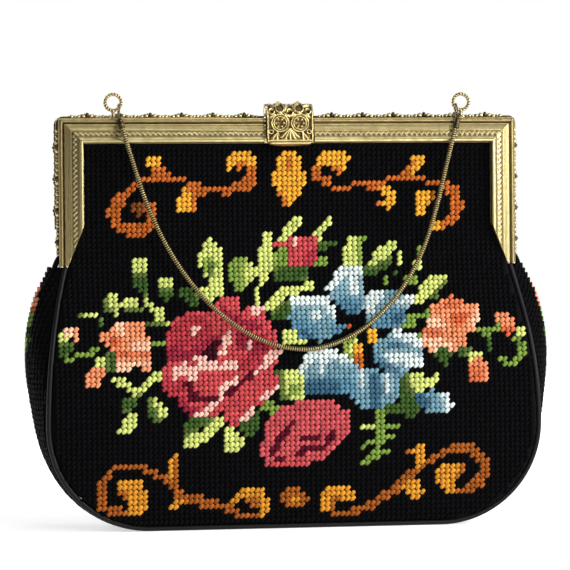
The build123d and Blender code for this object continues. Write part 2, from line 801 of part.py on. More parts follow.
with BuildPart() as clasp_cover:
    hood_top = pin_z + hood_radius
    arc_centre_z = hood_top - hood_arc
    plate_front = pin_y - hood_arc
    plate_back = plate_front + hood_thickness
    inner_arc = hood_arc - hood_thickness
    half_turn = math.sin(math.radians(45))
    lip_top = clasp_bottom + lip_height
    with BuildSketch(Plane.YZ):
        with BuildLine():
            ThreePointArc(
                (pin_y, hood_top),
                (pin_y - hood_arc * half_turn, arc_centre_z + hood_arc * half_turn),
                (plate_front, arc_centre_z),
            )
            Polyline(
                (plate_front, arc_centre_z),
                (plate_front, lip_top),
                (plate_front - lip_flare, clasp_bottom),
                (plate_back - lip_flare, clasp_bottom),
                (plate_back, lip_top),
                (plate_back, arc_centre_z),
            )
            ThreePointArc(
                (plate_back, arc_centre_z),
                (pin_y - inner_arc * half_turn, arc_centre_z + inner_arc * half_turn),
                (pin_y, hood_top - hood_thickness),
            )
            Line((pin_y, hood_top - hood_thickness), (pin_y, hood_top))
        make_face()
    extrude(amount=clasp_half, both=True)
    for side in (-1, 1):
        cheek_plane = Plane(
            (side * (clasp_half - cheek_thickness), 0, 0), x_dir=(0, side, 0), z_dir=(side, 0, 0)
        )
        with BuildSketch(cheek_plane):
            with Locations((side * pin_y, pin_z)):
                Circle(cheek_radius)
            Polygon(
                (side * pin_y, pin_z - cheek_radius),
                (side * -(ridge_front + face_clearance), pin_z - cheek_radius),
                (side * -(ridge_front + face_clearance), lip_top),
                (side * plate_back, lip_top),
                (side * plate_back, arc_centre_z),
                (side * (pin_y - inner_arc * half_turn), arc_centre_z + inner_arc * half_turn),
                (side * pin_y, hood_top - hood_thickness),
                align=None,
            )
            with Locations((side * pin_y, pin_z)):
                Circle(clasp_pin_radius + pin_clearance, mode=Mode.SUBTRACT)
        extrude(amount=cheek_thickness)
    lug_bottom = frame_top + bracket_thickness + catch_gap + catch_thickness + bead_radius + snap_gap
    lug_y = pin_y - clasp_pin_radius - snap_gap
    with BuildSketch(Plane.YZ):
        Polygon(
            (lug_y, lug_bottom),
            (lug_y - lug_thickness, lug_bottom),
            (lug_y - lug_thickness, hood_top - hood_thickness),
            (lug_y, hood_top - hood_thickness),
            align=None,
        )
    extrude(amount=lug_width / 2, both=True)
    with BuildSketch(Plane.XZ):
        with Locations((0, (clasp_bottom + hood_top) / 2)):
            RectangleRounded(clasp_width, hood_top - clasp_bottom, clasp_corner)
    extrude(amount=hood_arc + rim_depth + overrun, both=True, mode=Mode.INTERSECT)
    relief_plane = Plane.XZ.offset(-plate_front - hood_thickness / 2)
    with BuildSketch(relief_plane):
        for side in (-1, 1):
            with Locations((side * rosette_spacing / 2, rosette_height)):
                with PolarLocations(rosette_radius, petal_count):
                    RegularPolygon(petal_radius, lobe_sides)
            with Locations((side * palmette_step / 2, rosette_height)):
                with Locations(
                    Location((0, -palmette_length - palmette_gap, 0), (0, 0, side * 20)),
                    Location((0, palmette_length + palmette_gap / 2, 0), (0, 0, -side * 20)),
                ):
                    Ellipse(palmette_width / 2, palmette_length / 2)
    extrude(amount=hood_thickness / 2 + petal_height)
    with BuildSketch(relief_plane):
        with Locations((-rosette_spacing / 2, rosette_height), (rosette_spacing / 2, rosette_height)):
            RegularPolygon(rosette_boss_radius, lobe_sides)
    extrude(amount=hood_thickness / 2 + rosette_boss_height)

with BuildPart() as clasp_catch:
    tongue_bottom = frame_top + bracket_thickness + catch_gap
    tongue_top = tongue_bottom + catch_thickness
    with BuildSketch(Plane.YZ):
        Polygon(
            (frame_wall, frame_top),
            (catch_back, frame_top),
            (catch_back, tongue_top),
            (-catch_reach, tongue_top),
            (-catch_reach, tongue_bottom),
            (frame_wall, tongue_bottom),
            align=None,
        )
        with Locations((bead_radius - catch_reach, tongue_top)):
            Circle(bead_radius)
    extrude(amount=catch_width / 2, both=True)

nodes = {
    "front_panel": front_panel,
    "rear_panel": rear_panel,
    "gusset": gusset,
    "front_piping": front_piping,
    "rear_piping": rear_piping,
    "front_lining": front_lining,
    "rear_lining": rear_lining,
    "gusset_lining": gusset_lining,
    "rose_embroidery": rose_embroidery,
    "blue_flower_embroidery": blue_flower_embroidery,
    "peach_bud_embroidery": peach_bud_embroidery,
    "scroll_embroidery": scroll_embroidery,
    "leaf_embroidery": leaf_embroidery,
    "front_frame": front_frame,
    "rear_frame": rear_frame,
    "front_gallery": front_gallery,
    "rear_gallery": rear_gallery,
    "handle_chain": handle_chain,
    "clasp_bracket": clasp_bracket,
    "clasp_pin": clasp_pin,
    "clasp_cover": clasp_cover,
    "clasp_catch": clasp_catch,
    **hinge_pins,
    **eyelets,
    **links,
    **caps,
}
for name, piece in nodes.items():
    piece.part.label = name
    export_step(piece.part, f"parts/{name}.step")
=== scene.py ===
"""Embroidered handbag: needlepoint panels on a hinged brass frame with a lift clasp and a snake chain.

Metres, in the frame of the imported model: X runs to the viewer's right, -Y to the front and Z up.
"""

import bpy
import numpy as np
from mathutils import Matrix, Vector
from mathutils.geometry import tessellate_polygon


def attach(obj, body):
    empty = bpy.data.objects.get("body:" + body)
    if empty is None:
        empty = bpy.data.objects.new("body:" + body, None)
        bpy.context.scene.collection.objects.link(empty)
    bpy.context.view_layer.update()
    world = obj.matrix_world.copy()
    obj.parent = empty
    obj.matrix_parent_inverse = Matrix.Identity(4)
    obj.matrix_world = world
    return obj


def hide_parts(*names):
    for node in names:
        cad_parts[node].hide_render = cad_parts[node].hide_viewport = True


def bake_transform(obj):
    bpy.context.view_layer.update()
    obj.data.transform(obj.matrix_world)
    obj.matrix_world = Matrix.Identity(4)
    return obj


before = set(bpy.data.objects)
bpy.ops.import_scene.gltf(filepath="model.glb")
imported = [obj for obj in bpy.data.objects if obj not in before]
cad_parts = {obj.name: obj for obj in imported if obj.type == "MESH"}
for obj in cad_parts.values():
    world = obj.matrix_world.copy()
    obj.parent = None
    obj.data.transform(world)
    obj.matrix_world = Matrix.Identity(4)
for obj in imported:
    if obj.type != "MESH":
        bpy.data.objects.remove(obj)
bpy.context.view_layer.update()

# Lining: black satin behind both panels and the gusset, one sheet to each, sewn in at the seam and
# tucked into the frame. It shows only in the open mouth.
neck_height = 0.158
neck_depth = 0.0062
belly_height = 0.055
belly_depth = 0.026
base_draw = 0.002
seam_height = 0.0015
seam_side = 0.1235
seam_top = 0.1305
seam_top_x = 0.1132
corner_radius = 0.050
leg_taper_top = 0.152
neck_half = 0.103
leg_overlap = 0.0006
leg_overlap_rise = 0.004
tuck_half = 0.112
tuck_top = 0.201
lining_inset = 0.0045
lining_depth = 0.00215
lining_thickness = 0.0006
row_crowding = 1.6
bottom_half = seam_side - corner_radius
corner_top = seam_height + corner_radius
side_drop = seam_side - seam_top_x
side_radius = ((seam_top - corner_top) ** 2 + side_drop**2) / (2 * side_drop)
swell_change = belly_depth - neck_depth
swell_rise = neck_height - belly_height
swell_radius = (swell_rise**2 + swell_change**2) / (4 * swell_change)
base_radius = (belly_height**2 + base_draw**2) / (2 * base_draw)


def swell(z):
    """Depth of a panel's face at height z: straight neck, two equal arcs to the belly, a flat arc below."""
    rise = np.clip(neck_height - z, 0, swell_rise / 2)
    drop = np.clip(z - belly_height, 0, swell_rise / 2)
    fall = np.clip(belly_height - z, 0, None)
    upper = neck_depth + swell_radius - np.sqrt(swell_radius**2 - rise**2)
    lower = belly_depth - swell_radius + np.sqrt(swell_radius**2 - drop**2)
    base = belly_depth - base_radius + np.sqrt(base_radius**2 - fall**2)
    middle = (neck_height + belly_height) / 2
    return np.where(z > middle, upper, np.where(z > belly_height, lower, base))


def cloth_half(z, inset):
    """Half width of a panel at height z: corner arc, side arc, slant by the leg, straight neck, tuck."""
    reach = (corner_radius - inset) ** 2 - (corner_top - z) ** 2
    corner = bottom_half + np.sqrt(np.clip(reach, 0, None))
    climb = np.clip(z - corner_top, 0, seam_top - corner_top)
    side = seam_side - side_radius + np.sqrt((side_radius - inset) ** 2 - climb**2)
    slant = np.clip((z - seam_top) / (leg_taper_top - seam_top), 0, 1)
    tuck = np.clip((z - neck_height) / (tuck_half - neck_half), 0, 1)
    upper = side + (neck_half - side) * slant + (tuck_half - neck_half) * tuck
    upper = upper + leg_overlap * np.clip((z - seam_top) / leg_overlap_rise, 0, 1)
    return np.where(z < corner_top, corner, upper)


def grid_faces(rows, columns, wrap_rows=False, wrap_columns=False):
    """Quads of a grid of points numbered row by row; a wrapped direction closes on itself."""
    row = np.arange(rows if wrap_rows else rows - 1)[:, None]
    column = np.arange(columns if wrap_columns else columns - 1)[None, :]
    next_row = (row + 1) % rows
    next_column = (column + 1) % columns
    corners = [
        row * columns + column,
        row * columns + next_column,
        next_row * columns + next_column,
        next_row * columns + column,
    ]
    return np.stack(corners, axis=-1).reshape(-1, 4)


def new_piece(name, points, faces, finish, smooth=True):
    """A mesh object at the origin, from an array of points and faces that all have as many corners."""
    mesh = bpy.data.meshes.new(name)
    count, corners = faces.shape
    mesh.vertices.add(len(points))
    mesh.vertices.foreach_set("co", np.asarray(points, np.float32).ravel())
    mesh.loops.add(count * corners)
    mesh.loops.foreach_set("vertex_index", np.asarray(faces, np.int32).ravel())
    mesh.polygons.add(count)
    mesh.polygons.foreach_set("loop_start", np.arange(count, dtype=np.int32) * corners)
    mesh.polygons.foreach_set("use_smooth", np.full(count, smooth))
    mesh.update(calc_edges=True)
    mesh.materials.append(finish)
    piece = bpy.data.objects.new(name, mesh)
    bpy.context.scene.collection.objects.link(piece)
    return piece


def closed_sheet(outer, inner):
    """A sheet with thickness: rows of the outer face run on round the edge into the inner face."""
    rows, columns = outer.shape[:2]
    points = np.concatenate([outer, inner[:, ::-1]], axis=1)
    faces = [grid_faces(rows, 2 * columns, wrap_columns=True)]
    near = np.arange(columns - 1)
    far = 2 * columns - 1 - near
    end = np.stack([near, far, far - 1, near + 1], axis=-1)
    faces.append(end)
    faces.append(end[:, ::-1] + (rows - 1) * 2 * columns)
    return points.reshape(-1, 3), np.concatenate(faces)


def panel_layer(bottom, top, inset, lift, rows=64, columns=44):
    """Points of a layer of the front panel: heights crowd at the bottom, widths follow the outline."""
    z = bottom + (top - bottom) * np.linspace(0, 1, rows)[:, None] ** row_crowding
    x = cloth_half(z, inset) * np.linspace(-1, 1, columns)[None, :]
    y = -swell(z) - lift + np.zeros_like(x)
    return np.stack([x, y, z + np.zeros_like(x)], axis=-1)


def new_finish(name, fixed):
    """A material whose shader has these fixed values on its sockets; returns it with its shader node."""
    finish = bpy.data.materials.new(name)
    finish.use_nodes = True
    shader = finish.node_tree.nodes["Principled BSDF"]
    for socket, value in fixed.items():
        shader.inputs[socket].default_value = value
    return finish, shader


def add_node(finish, kind, linked, fixed, **settings):
    """A node with its settings and fixed values, linked from the sockets that are given."""
    node = finish.node_tree.nodes.new(kind)
    for name, value in settings.items():
        setattr(node, name, value)
    for socket, value in fixed.items():
        node.inputs[socket].default_value = value
    for socket, source in linked.items():
        finish.node_tree.links.new(source, node.inputs[socket])
    return node


def colour_ramp(finish, source, stops):
    """A ramp over a factor; stops are (place, linear colour)."""
    ramp = add_node(finish, "ShaderNodeValToRGB", {"Fac": source}, {})
    elements = ramp.color_ramp.elements
    while len(elements) < len(stops):
        elements.new(0.5)
    for element, (place, colour) in zip(elements, stops):
        element.position = place
        element.color = (*colour, 1)
    return ramp.outputs["Color"]


def satin_finish():
    """Black satin: a fine weave in the bump, with a soft uneven sheen."""
    finish, shader = new_finish(
        "black_satin", {"Roughness": 0.38, "Sheen Weight": 0.3, "Base Color": (0.012, 0.011, 0.013, 1)}
    )
    place = add_node(finish, "ShaderNodeTexCoord", {}, {}).outputs["Object"]
    weave = add_node(
        finish,
        "ShaderNodeTexWave",
        {"Vector": place},
        {"Scale": 900, "Distortion": 1.5},
        bands_direction="DIAGONAL",
    )
    folds = add_node(finish, "ShaderNodeTexNoise", {"Vector": place}, {"Scale": 45, "Detail": 3})
    soft = add_node(
        finish, "ShaderNodeBump", {"Height": folds.outputs["Fac"]}, {"Strength": 0.35, "Distance": 0.004}
    )
    fine = add_node(
        finish,
        "ShaderNodeBump",
        {"Height": weave.outputs["Fac"], "Normal": soft.outputs["Normal"]},
        {"Strength": 0.15, "Distance": 0.0002},
    )
    finish.node_tree.links.new(fine.outputs["Normal"], shader.inputs["Normal"])
    return finish


satin = satin_finish()
lining_bottom = seam_height + lining_inset
lining_outer = panel_layer(lining_bottom, tuck_top, lining_inset, -lining_depth)
lining_inner = panel_layer(lining_bottom, tuck_top, lining_inset, -lining_depth - lining_thickness)
points, faces = closed_sheet(lining_outer, lining_inner)
front_lining = new_piece("front_lining_satin", points, faces, satin)
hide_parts("front_lining")
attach(front_lining, "bag")
to_the_rear = np.array([1, -1, 1])
rear_lining = new_piece("rear_lining_satin", points * to_the_rear, faces[:, ::-1], satin)
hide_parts("rear_lining")
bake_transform(rear_lining)

# Front panel: black needlepoint on ten-mesh canvas, worked in tent stitch, with roses, a blue flower,
# buds, leaves and gold scrolls in wool. Each stitch is a slanted grain of yarn over one canvas hole.
panel_thickness = 0.002
panel_inset = 0.00165
stitch_pitch = 0.00254
stitch_half_length = 0.00182
stitch_half_width = 0.00124
stitch_height = 0.00056
stitch_seat = 0.00022
stitch_slant = 49.0
stitch_ring_share = 0.72
slant_spread = 4
size_spread = 0.05
place_spread = 0.00006
dye_spread = 0.1
dye_range = (0.74, 1.26)
stitch_rest = 0.0002
frame_inner_top = 0.1922
frame_inner_half = 0.1030
panel_columns = 48
seam_margin = 0.3
neck_margin = 0.2
FRAME_CENTRE_PX = 288.4
EYE_LEVEL_PX = 285.0
eye_level = 0.1215
view_distance = 1.6
px_width = 0.000506
px_height = 0.0005
view_lean = 0.158
chance = np.random.default_rng(7)
# Painted shade at the ends and underside of each stitch, and a painted highlight on its crown.
hole_shade = 0.16
side_light = 0.62
crown_light = 1.2
shading_reach = 7.5
YARNS = {
    "black": (9, 9, 11),
    "rose": (192, 72, 76),
    "rose_mid": (174, 56, 66),
    "rose_shade": (150, 42, 60),
    "maroon": (86, 19, 35),
    "rose_heart": (52, 14, 24),
    "rose_light": (240, 182, 168),
    "coral": (192, 80, 84),
    "sky": (108, 148, 162),
    "blue": (84, 130, 154),
    "deep_blue": (54, 92, 116),
    "ice": (216, 228, 224),
    "lime": (202, 212, 116),
    "leaf": (118, 146, 62),
    "moss": (58, 86, 38),
    "peach": (232, 140, 96),
    "peach_light": (246, 192, 158),
    "terracotta": (214, 112, 72),
    "rust": (196, 86, 48),
    "gold": (232, 164, 52),
    # A darker gold as painted shade, for the scrolls low on the belly where it turns under
    "gold_in_painted_shade": (212, 142, 44),
    "amber": (182, 94, 38),
    "umber": (124, 68, 30),
    "russet": (156, 84, 32),
}


def linear(colour):
    """Linear light of an eight-bit screen colour."""
    share = np.asarray(colour, float) / 255
    return np.where(share < 0.04045, share / 12.92, ((share + 0.055) / 1.055) ** 2.4)


def grain_faces(count, rings, facets):
    """Triangles of many closed grains, each a point, some rings of facets points and a last point."""
    ring = np.arange(facets)
    after = (ring + 1) % facets
    faces = [np.stack([0 * ring, after + 1, ring + 1], axis=-1)]
    for start in 1 + facets * np.arange(rings - 1):
        faces.append(np.stack([start + ring, start + after, start + facets + after], axis=-1))
        faces.append(np.stack([start + ring, start + facets + after, start + facets + ring], axis=-1))
    last = 1 + (rings - 1) * facets
    faces.append(np.stack([0 * ring + last + facets, last + ring, last + after], axis=-1))
    one = np.concatenate(faces)
    size_of_one = rings * facets + 2
    return (one[None] + (np.arange(count) * size_of_one)[:, None, None]).reshape(-1, 3)


def stitch_grains(centre, right, up, out, colour, facets):
    """Tent stitches as closed grains: three rings of facets points, and a point at each end.

    A grain's axis leans from lower left to upper right of its hole; its width and height follow a
    blunt oval along it, one less the cube of the share, to the power of a third. Slant, size and place
    vary a little from stitch to stitch, and those under the bag are pressed flat on the table. Painted
    shade darkens the yarn at its ends and its underside, where it goes into the holes of the canvas,
    and a painted highlight lightens its crown.
    """
    count = len(centre)
    slant = np.radians(stitch_slant + chance.normal(0, slant_spread, count))[:, None]
    along = np.cos(slant) * right + np.sin(slant) * up
    across = -np.sin(slant) * right + np.cos(slant) * up
    size = chance.normal(1, size_spread, (count, 1, 1, 1))
    middle = centre + chance.normal(0, place_spread, (count, 3)) + out * stitch_seat
    shares = stitch_ring_share * np.array([-1, 0, 1])
    swell_share = np.cbrt(1 - np.abs(shares) ** 3)[None, :, None, None]
    turn = 2 * np.pi * (np.arange(facets) + 0.5) / facets
    axis = middle[:, None, None] + along[:, None, None] * (shares * stitch_half_length)[None, :, None, None]
    wide = across[:, None, None] * (np.cos(turn) * stitch_half_width)[None, None, :, None]
    high = out[:, None, None] * (np.sin(turn) * stitch_height)[None, None, :, None]
    rings = (axis + (wide + high) * swell_share * size).reshape(count, -1, 3)
    sink = out * stitch_seat
    first = (middle - along * stitch_half_length - sink)[:, None]
    last = (middle + along * stitch_half_length - sink)[:, None]
    points = np.concatenate([first, rings, last], axis=1)
    points[..., 2] = np.maximum(points[..., 2], stitch_rest)
    faces = grain_faces(count, len(shares), facets)
    dyed = colour * chance.normal(1, dye_spread, (count, 1)).clip(*dye_range)
    # Painted shade under each grain and at its ends, and a painted highlight on its crown.
    side_shade = (side_light + side_light * np.sin(turn)).clip(hole_shade, crown_light)
    shade = np.concatenate([[hole_shade], np.tile(side_shade, len(shares)), [hole_shade]])
    worked = (dyed[:, None] * shade[None, :, None]).reshape(-1, 3)
    colours = np.concatenate([worked, np.ones((len(worked), 1))], axis=1)
    return points.reshape(-1, 3), faces, colours


def stitched_piece(name, centre, right, up, out, colour, facets, finish):
    """Stitches as one piece, with each yarn's colour and its painted shade kept in the attribute yarn."""
    points, faces, colours = stitch_grains(centre, right, up, out, colour, facets)
    piece = new_piece(name, points, faces, finish)
    yarn = piece.data.attributes.new("yarn", "FLOAT_COLOR", "POINT")
    yarn.data.foreach_set("color", colours.astype(np.float32).ravel())
    return piece


def wool_finish():
    """Tapestry wool: the yarn's colour and painted shade, mottled by fibres, with a soft nap and no gloss.
    """
    finish, shader = new_finish("tapestry_wool", {"Roughness": 0.85, "Specular IOR Level": 0.04})
    place = add_node(finish, "ShaderNodeTexCoord", {}, {}).outputs["Object"]
    yarn = add_node(finish, "ShaderNodeAttribute", {}, {}, attribute_name="yarn").outputs["Color"]
    fibre = add_node(
        finish, "ShaderNodeTexNoise", {"Vector": place}, {"Scale": 2600, "Detail": 4, "Roughness": 0.7}
    )
    shade = colour_ramp(finish, fibre.outputs["Fac"], [(0.3, (0.72,) * 3), (0.7, (1.18,) * 3)])
    dyed = add_node(
        finish, "ShaderNodeMix", {"A": yarn, "B": shade}, {}, data_type="RGBA", blend_type="MULTIPLY"
    )
    dyed.inputs["Factor"].default_value = 1
    nap = add_node(
        finish, "ShaderNodeBump", {"Height": fibre.outputs["Fac"]}, {"Strength": 0.5, "Distance": 0.0003}
    )
    finish.node_tree.links.new(dyed.outputs["Result"], shader.inputs["Base Color"])
    finish.node_tree.links.new(nap.outputs["Normal"], shader.inputs["Normal"])
    return finish


def canvas_finish():
    """Black canvas behind the stitches: matt cotton with a fine woven bump."""
    finish, shader = new_finish(
        "black_canvas",
        {"Roughness": 0.95, "Specular IOR Level": 0.05, "Base Color": (0.004, 0.004, 0.005, 1)},
    )
    place = add_node(finish, "ShaderNodeTexCoord", {}, {}).outputs["Object"]
    weave = add_node(finish, "ShaderNodeTexVoronoi", {"Vector": place}, {"Scale": 700})
    bump = add_node(
        finish,
        "ShaderNodeBump",
        {"Height": weave.outputs["Distance"]},
        {"Strength": 0.4, "Distance": 0.0004},
    )
    finish.node_tree.links.new(bump.outputs["Normal"], shader.inputs["Normal"])
    return finish


def panel_grid(side):
    """Middles of a panel's stitches, with the directions right, up and out of the cloth at each.

    Rows stand one pitch apart along the swell, from a table of its running length.
    """
    heights = np.linspace(seam_height + panel_inset, tuck_top, 4000)
    depths = swell(heights)
    runs = np.concatenate([[0], np.cumsum(np.hypot(np.diff(heights), np.diff(depths)))])
    rows = np.arange(stitch_pitch / 2, runs[-1], stitch_pitch)
    columns = np.arange(-panel_columns, panel_columns + 1) * stitch_pitch
    run, x = (grid.ravel() for grid in np.meshgrid(rows, columns, indexing="ij"))
    z = np.interp(run, runs, heights)
    margin = np.where(z > seam_top - stitch_pitch, neck_margin, seam_margin) * stitch_pitch
    keep = (np.abs(x) < cloth_half(z, panel_inset) - margin) & (z < frame_inner_top - margin)
    keep &= np.abs(x) < np.where(z > leg_taper_top, frame_inner_half - margin, 1)
    x, z, run = x[keep], z[keep], run[keep]
    lean_z = np.interp(run, runs, np.gradient(heights, runs))
    lean_y = np.interp(run, runs, np.gradient(depths, runs))
    flat = np.zeros_like(x)
    centre = np.stack([x, side * swell(z), z], axis=-1)
    right = np.stack([flat - side, flat, flat], axis=-1)
    up = np.stack([flat, side * lean_y, lean_z], axis=-1)
    out = np.stack([flat, side * lean_z, -lean_y], axis=-1)
    return centre, right, up, out


front_centre, front_right, front_up, front_out = panel_grid(-1)
nearness = 1 - (belly_depth + front_centre[:, 1]) / view_distance
stitch_px = FRAME_CENTRE_PX + nearness * (front_centre[:, 0] - view_lean * front_centre[:, 1]) / px_width
stitch_py = EYE_LEVEL_PX + nearness * (eye_level - front_centre[:, 2]) / px_height
stitch_motif = np.full(len(front_centre), "ground", dtype="U12")
stitch_colour = np.tile(linear(YARNS["black"]), (len(front_centre), 1))


def field(motif, yarn, *corners):
    """Works a yarn into the stitches inside a polygon, drawn in pixels of the photograph.

    A stitch is inside where a line from it to the right crosses the outline an odd number of times.
    """
    px, py = np.array(corners, float).T
    next_px, next_py = np.roll(px, -1), np.roll(py, -1)
    spans = (py[None] > stitch_py[:, None]) != (next_py[None] > stitch_py[:, None])
    rise = np.where(next_py == py, 1, next_py - py)
    crossing = px + (next_px - px) * (stitch_py[:, None] - py) / rise
    inside = (spans & (stitch_px[:, None] < crossing)).sum(axis=1) % 2 == 1
    stitch_motif[inside] = motif
    stitch_colour[inside] = linear(YARNS[yarn])


def line(motif, yarn, width, *points):
    """Works a yarn into the stitches within half a width of a run of points, in the same pixels."""
    here = np.stack([stitch_px, stitch_py], axis=-1)[:, None]
    points = np.array(points, float)
    start, run = points[:-1], np.diff(points, axis=0)
    share = ((here - start) * run).sum(axis=-1) / (run**2).sum(axis=-1)
    nearest = start + run * share.clip(0, 1)[..., None]
    inside = np.linalg.norm(here - nearest, axis=-1).min(axis=1) < width / 2
    stitch_motif[inside] = motif
    stitch_colour[inside] = linear(YARNS[yarn])


def shaded(motif, share):
    """Mixes into each stitch of a motif a share of the mean colour of those within reach of it."""
    chosen = np.flatnonzero(stitch_motif == motif)
    here = np.stack([stitch_px, stitch_py], axis=-1)[chosen]
    near = np.linalg.norm(here[:, None] - here[None], axis=-1) < shading_reach
    mean = near @ stitch_colour[chosen] / near.sum(axis=1, keepdims=True)
    stitch_colour[chosen] += share * (mean - stitch_colour[chosen])


# Scroll at the top left
field("scroll", "amber", (133, 186), (121, 194), (113, 204), (109, 213), (114, 224), (126, 235),
      (143, 236), (155, 235), (157, 226), (146, 225), (133, 225), (125, 219), (123, 211), (130, 203),
      (135, 194))
field("scroll", "umber", (134, 201), (148, 201), (150, 213), (143, 216), (135, 212))
field("scroll", "amber", (150, 203), (157, 203), (158, 228), (150, 228))
line("scroll", "amber", 6, (133, 189), (145, 181), (156, 180), (172, 179), (186, 180), (190, 185))
field("scroll", "amber", (187, 181), (203, 182), (208, 196), (197, 198), (187, 190))
line("scroll", "amber", 6, (203, 189), (219, 191), (237, 191))
field("scroll", "gold", (148, 164), (153, 156), (163, 156), (164, 166), (161, 172), (153, 172))
field("scroll", "amber", (156, 170), (164, 168), (173, 176), (172, 181), (156, 181))
field("scroll", "gold", (188, 186), (193, 194), (193, 213), (178, 213), (178, 200), (184, 193))
line("scroll", "amber", 5, (196, 194), (196, 211))
field("scroll", "amber", (245, 165), (252, 163), (260, 166), (260, 185), (252, 191), (237, 195),
      (222, 196), (222, 187), (236, 185), (244, 179), (249, 173))
field("scroll", "gold", (229, 160), (236, 154), (249, 153), (260, 159), (260, 167), (247, 165),
      (237, 165), (234, 172), (229, 172))
field("scroll", "amber", (236, 164), (247, 164), (243, 175), (236, 174))
# Scroll at the top centre and right
field("scroll", "gold", (297, 152), (285, 152), (279, 156), (279, 171), (273, 172), (273, 185),
      (278, 191), (282, 199), (283, 206), (293, 206), (298, 201), (303, 191), (308, 184), (308, 173),
      (303, 171), (303, 158))
field("scroll", "amber", (287, 157), (293, 157), (293, 174), (287, 174))
field("scroll", "amber", (278, 191), (285, 195), (289, 206), (282, 206))
field("scroll", "gold", (316, 166), (319, 160), (322, 154), (336, 153), (347, 153), (352, 161),
      (347, 170), (340, 176), (336, 173), (334, 166), (325, 166), (322, 170), (316, 170))
field("scroll", "amber", (333, 165), (342, 166), (340, 177), (335, 175))
field("scroll", "amber", (315, 170), (325, 168), (325, 178), (331, 186), (326, 187), (315, 182))
line("scroll", "amber", 5, (328, 181), (334, 188), (349, 190), (356, 186), (367, 186), (380, 188))
field("scroll", "amber", (364, 184), (381, 184), (381, 193), (366, 191))
line("scroll", "amber", 5, (381, 183), (397, 182), (425, 182), (436, 184), (446, 187))
field("scroll", "gold", (380, 189), (389, 188), (396, 196), (396, 208), (389, 213), (383, 209),
      (385, 201))
field("scroll", "rust", (377, 201), (383, 201), (383, 207), (377, 207))
field("scroll", "gold", (414, 157), (424, 156), (429, 164), (420, 172), (415, 179), (410, 181),
      (412, 170))
field("scroll", "amber", (400, 181), (406, 172), (413, 161), (415, 167), (411, 178), (408, 182))
field("scroll", "gold", (417, 193), (430, 192), (430, 203), (426, 218), (418, 220), (416, 208))
field("scroll", "umber", (429, 191), (435, 191), (434, 203), (430, 207))
field("scroll", "amber", (443, 180), (452, 184), (460, 191), (464, 202), (464, 214), (459, 223),
      (451, 230), (436, 231), (430, 229), (432, 221), (443, 222), (450, 217), (452, 207), (450, 199),
      (444, 194))
field("scroll", "gold", (430, 223), (442, 224), (442, 231), (430, 230))
# Scroll at the bottom left, its gold darkened as painted shade where the belly turns under
line("scroll", "russet", 5, (108, 467), (120, 465), (149, 465))
field("scroll", "russet", (113, 463), (102, 473), (96, 487), (96, 497), (101, 506), (113, 511),
      (127, 511), (127, 505), (113, 502), (106, 493), (106, 481), (112, 473))
field("scroll", "gold_in_painted_shade", (116, 482), (121, 477), (139, 476), (144, 483), (149, 490), (149, 500),
      (144, 508), (133, 511), (126, 510), (126, 498), (121, 490))
field("scroll", "russet", (116, 485), (127, 485), (127, 494), (118, 493))
line("scroll", "russet", 7, (148, 466), (161, 474), (173, 481), (180, 490))
line("scroll", "russet", 11, (180, 493), (190, 496), (202, 499))
line("scroll", "russet", 8, (202, 500), (219, 503), (229, 506))
line("scroll", "russet", 6, (229, 508), (238, 512), (257, 513))
field("scroll", "gold_in_painted_shade", (166, 462), (172, 454), (180, 452), (178, 461), (173, 475), (166, 477))
field("scroll", "russet", (176, 455), (180, 455), (179, 476), (179, 491), (169, 484), (166, 476),
      (173, 475))
field("scroll", "gold_in_painted_shade", (165, 505), (173, 497), (183, 495), (182, 501), (173, 508), (166, 510))
field("scroll", "gold_in_painted_shade", (229, 497), (240, 488), (250, 484), (260, 485), (266, 494), (270, 503),
      (267, 512), (258, 516), (256, 511), (259, 505), (256, 496), (244, 494), (237, 501), (230, 501))
field("scroll", "russet", (245, 495), (256, 495), (258, 508), (252, 508), (250, 503), (245, 502))
# Scroll at the bottom centre and right, its gold darkened as painted shade where the belly turns under
field("scroll", "russet", (279, 497), (283, 489), (293, 487), (303, 489), (308, 497), (304, 505),
      (293, 507), (283, 505))
field("scroll", "gold_in_painted_shade", (289, 494), (299, 494), (299, 502), (289, 502))
field("scroll", "gold_in_painted_shade", (317, 497), (325, 488), (338, 484), (350, 488), (354, 497), (344, 504),
      (339, 501), (342, 495), (335, 494), (328, 500), (327, 508), (331, 514), (322, 513), (317, 506))
field("scroll", "russet", (328, 496), (340, 494), (341, 499), (334, 502), (333, 512), (327, 511))
line("scroll", "russet", 6, (331, 513), (345, 514), (353, 512))
line("scroll", "russet", 8, (352, 511), (364, 509), (376, 501), (393, 492), (402, 484), (410, 475),
     (419, 469))
line("scroll", "russet", 6, (419, 468), (428, 462), (441, 456), (452, 451), (464, 450))
field("scroll", "gold_in_painted_shade", (411, 452), (413, 446), (422, 447), (427, 457), (425, 467), (417, 470),
      (413, 461))
field("scroll", "russet", (406, 450), (411, 450), (412, 456), (406, 456))
field("scroll", "gold_in_painted_shade", (400, 487), (407, 482), (418, 483), (418, 490), (422, 494), (414, 501),
      (408, 499))
field("scroll", "russet", (460, 448), (472, 448), (483, 454), (490, 464), (490, 480), (481, 490),
      (469, 498), (455, 498), (455, 491), (465, 490), (474, 481), (478, 474), (481, 469), (472, 461),
      (462, 455))
field("scroll", "gold_in_painted_shade", (432, 476), (439, 468), (461, 465), (463, 473), (455, 482), (451, 487),
      (456, 496), (446, 496), (440, 487), (434, 484))
field("scroll", "russet", (460, 467), (466, 469), (464, 477), (456, 481))
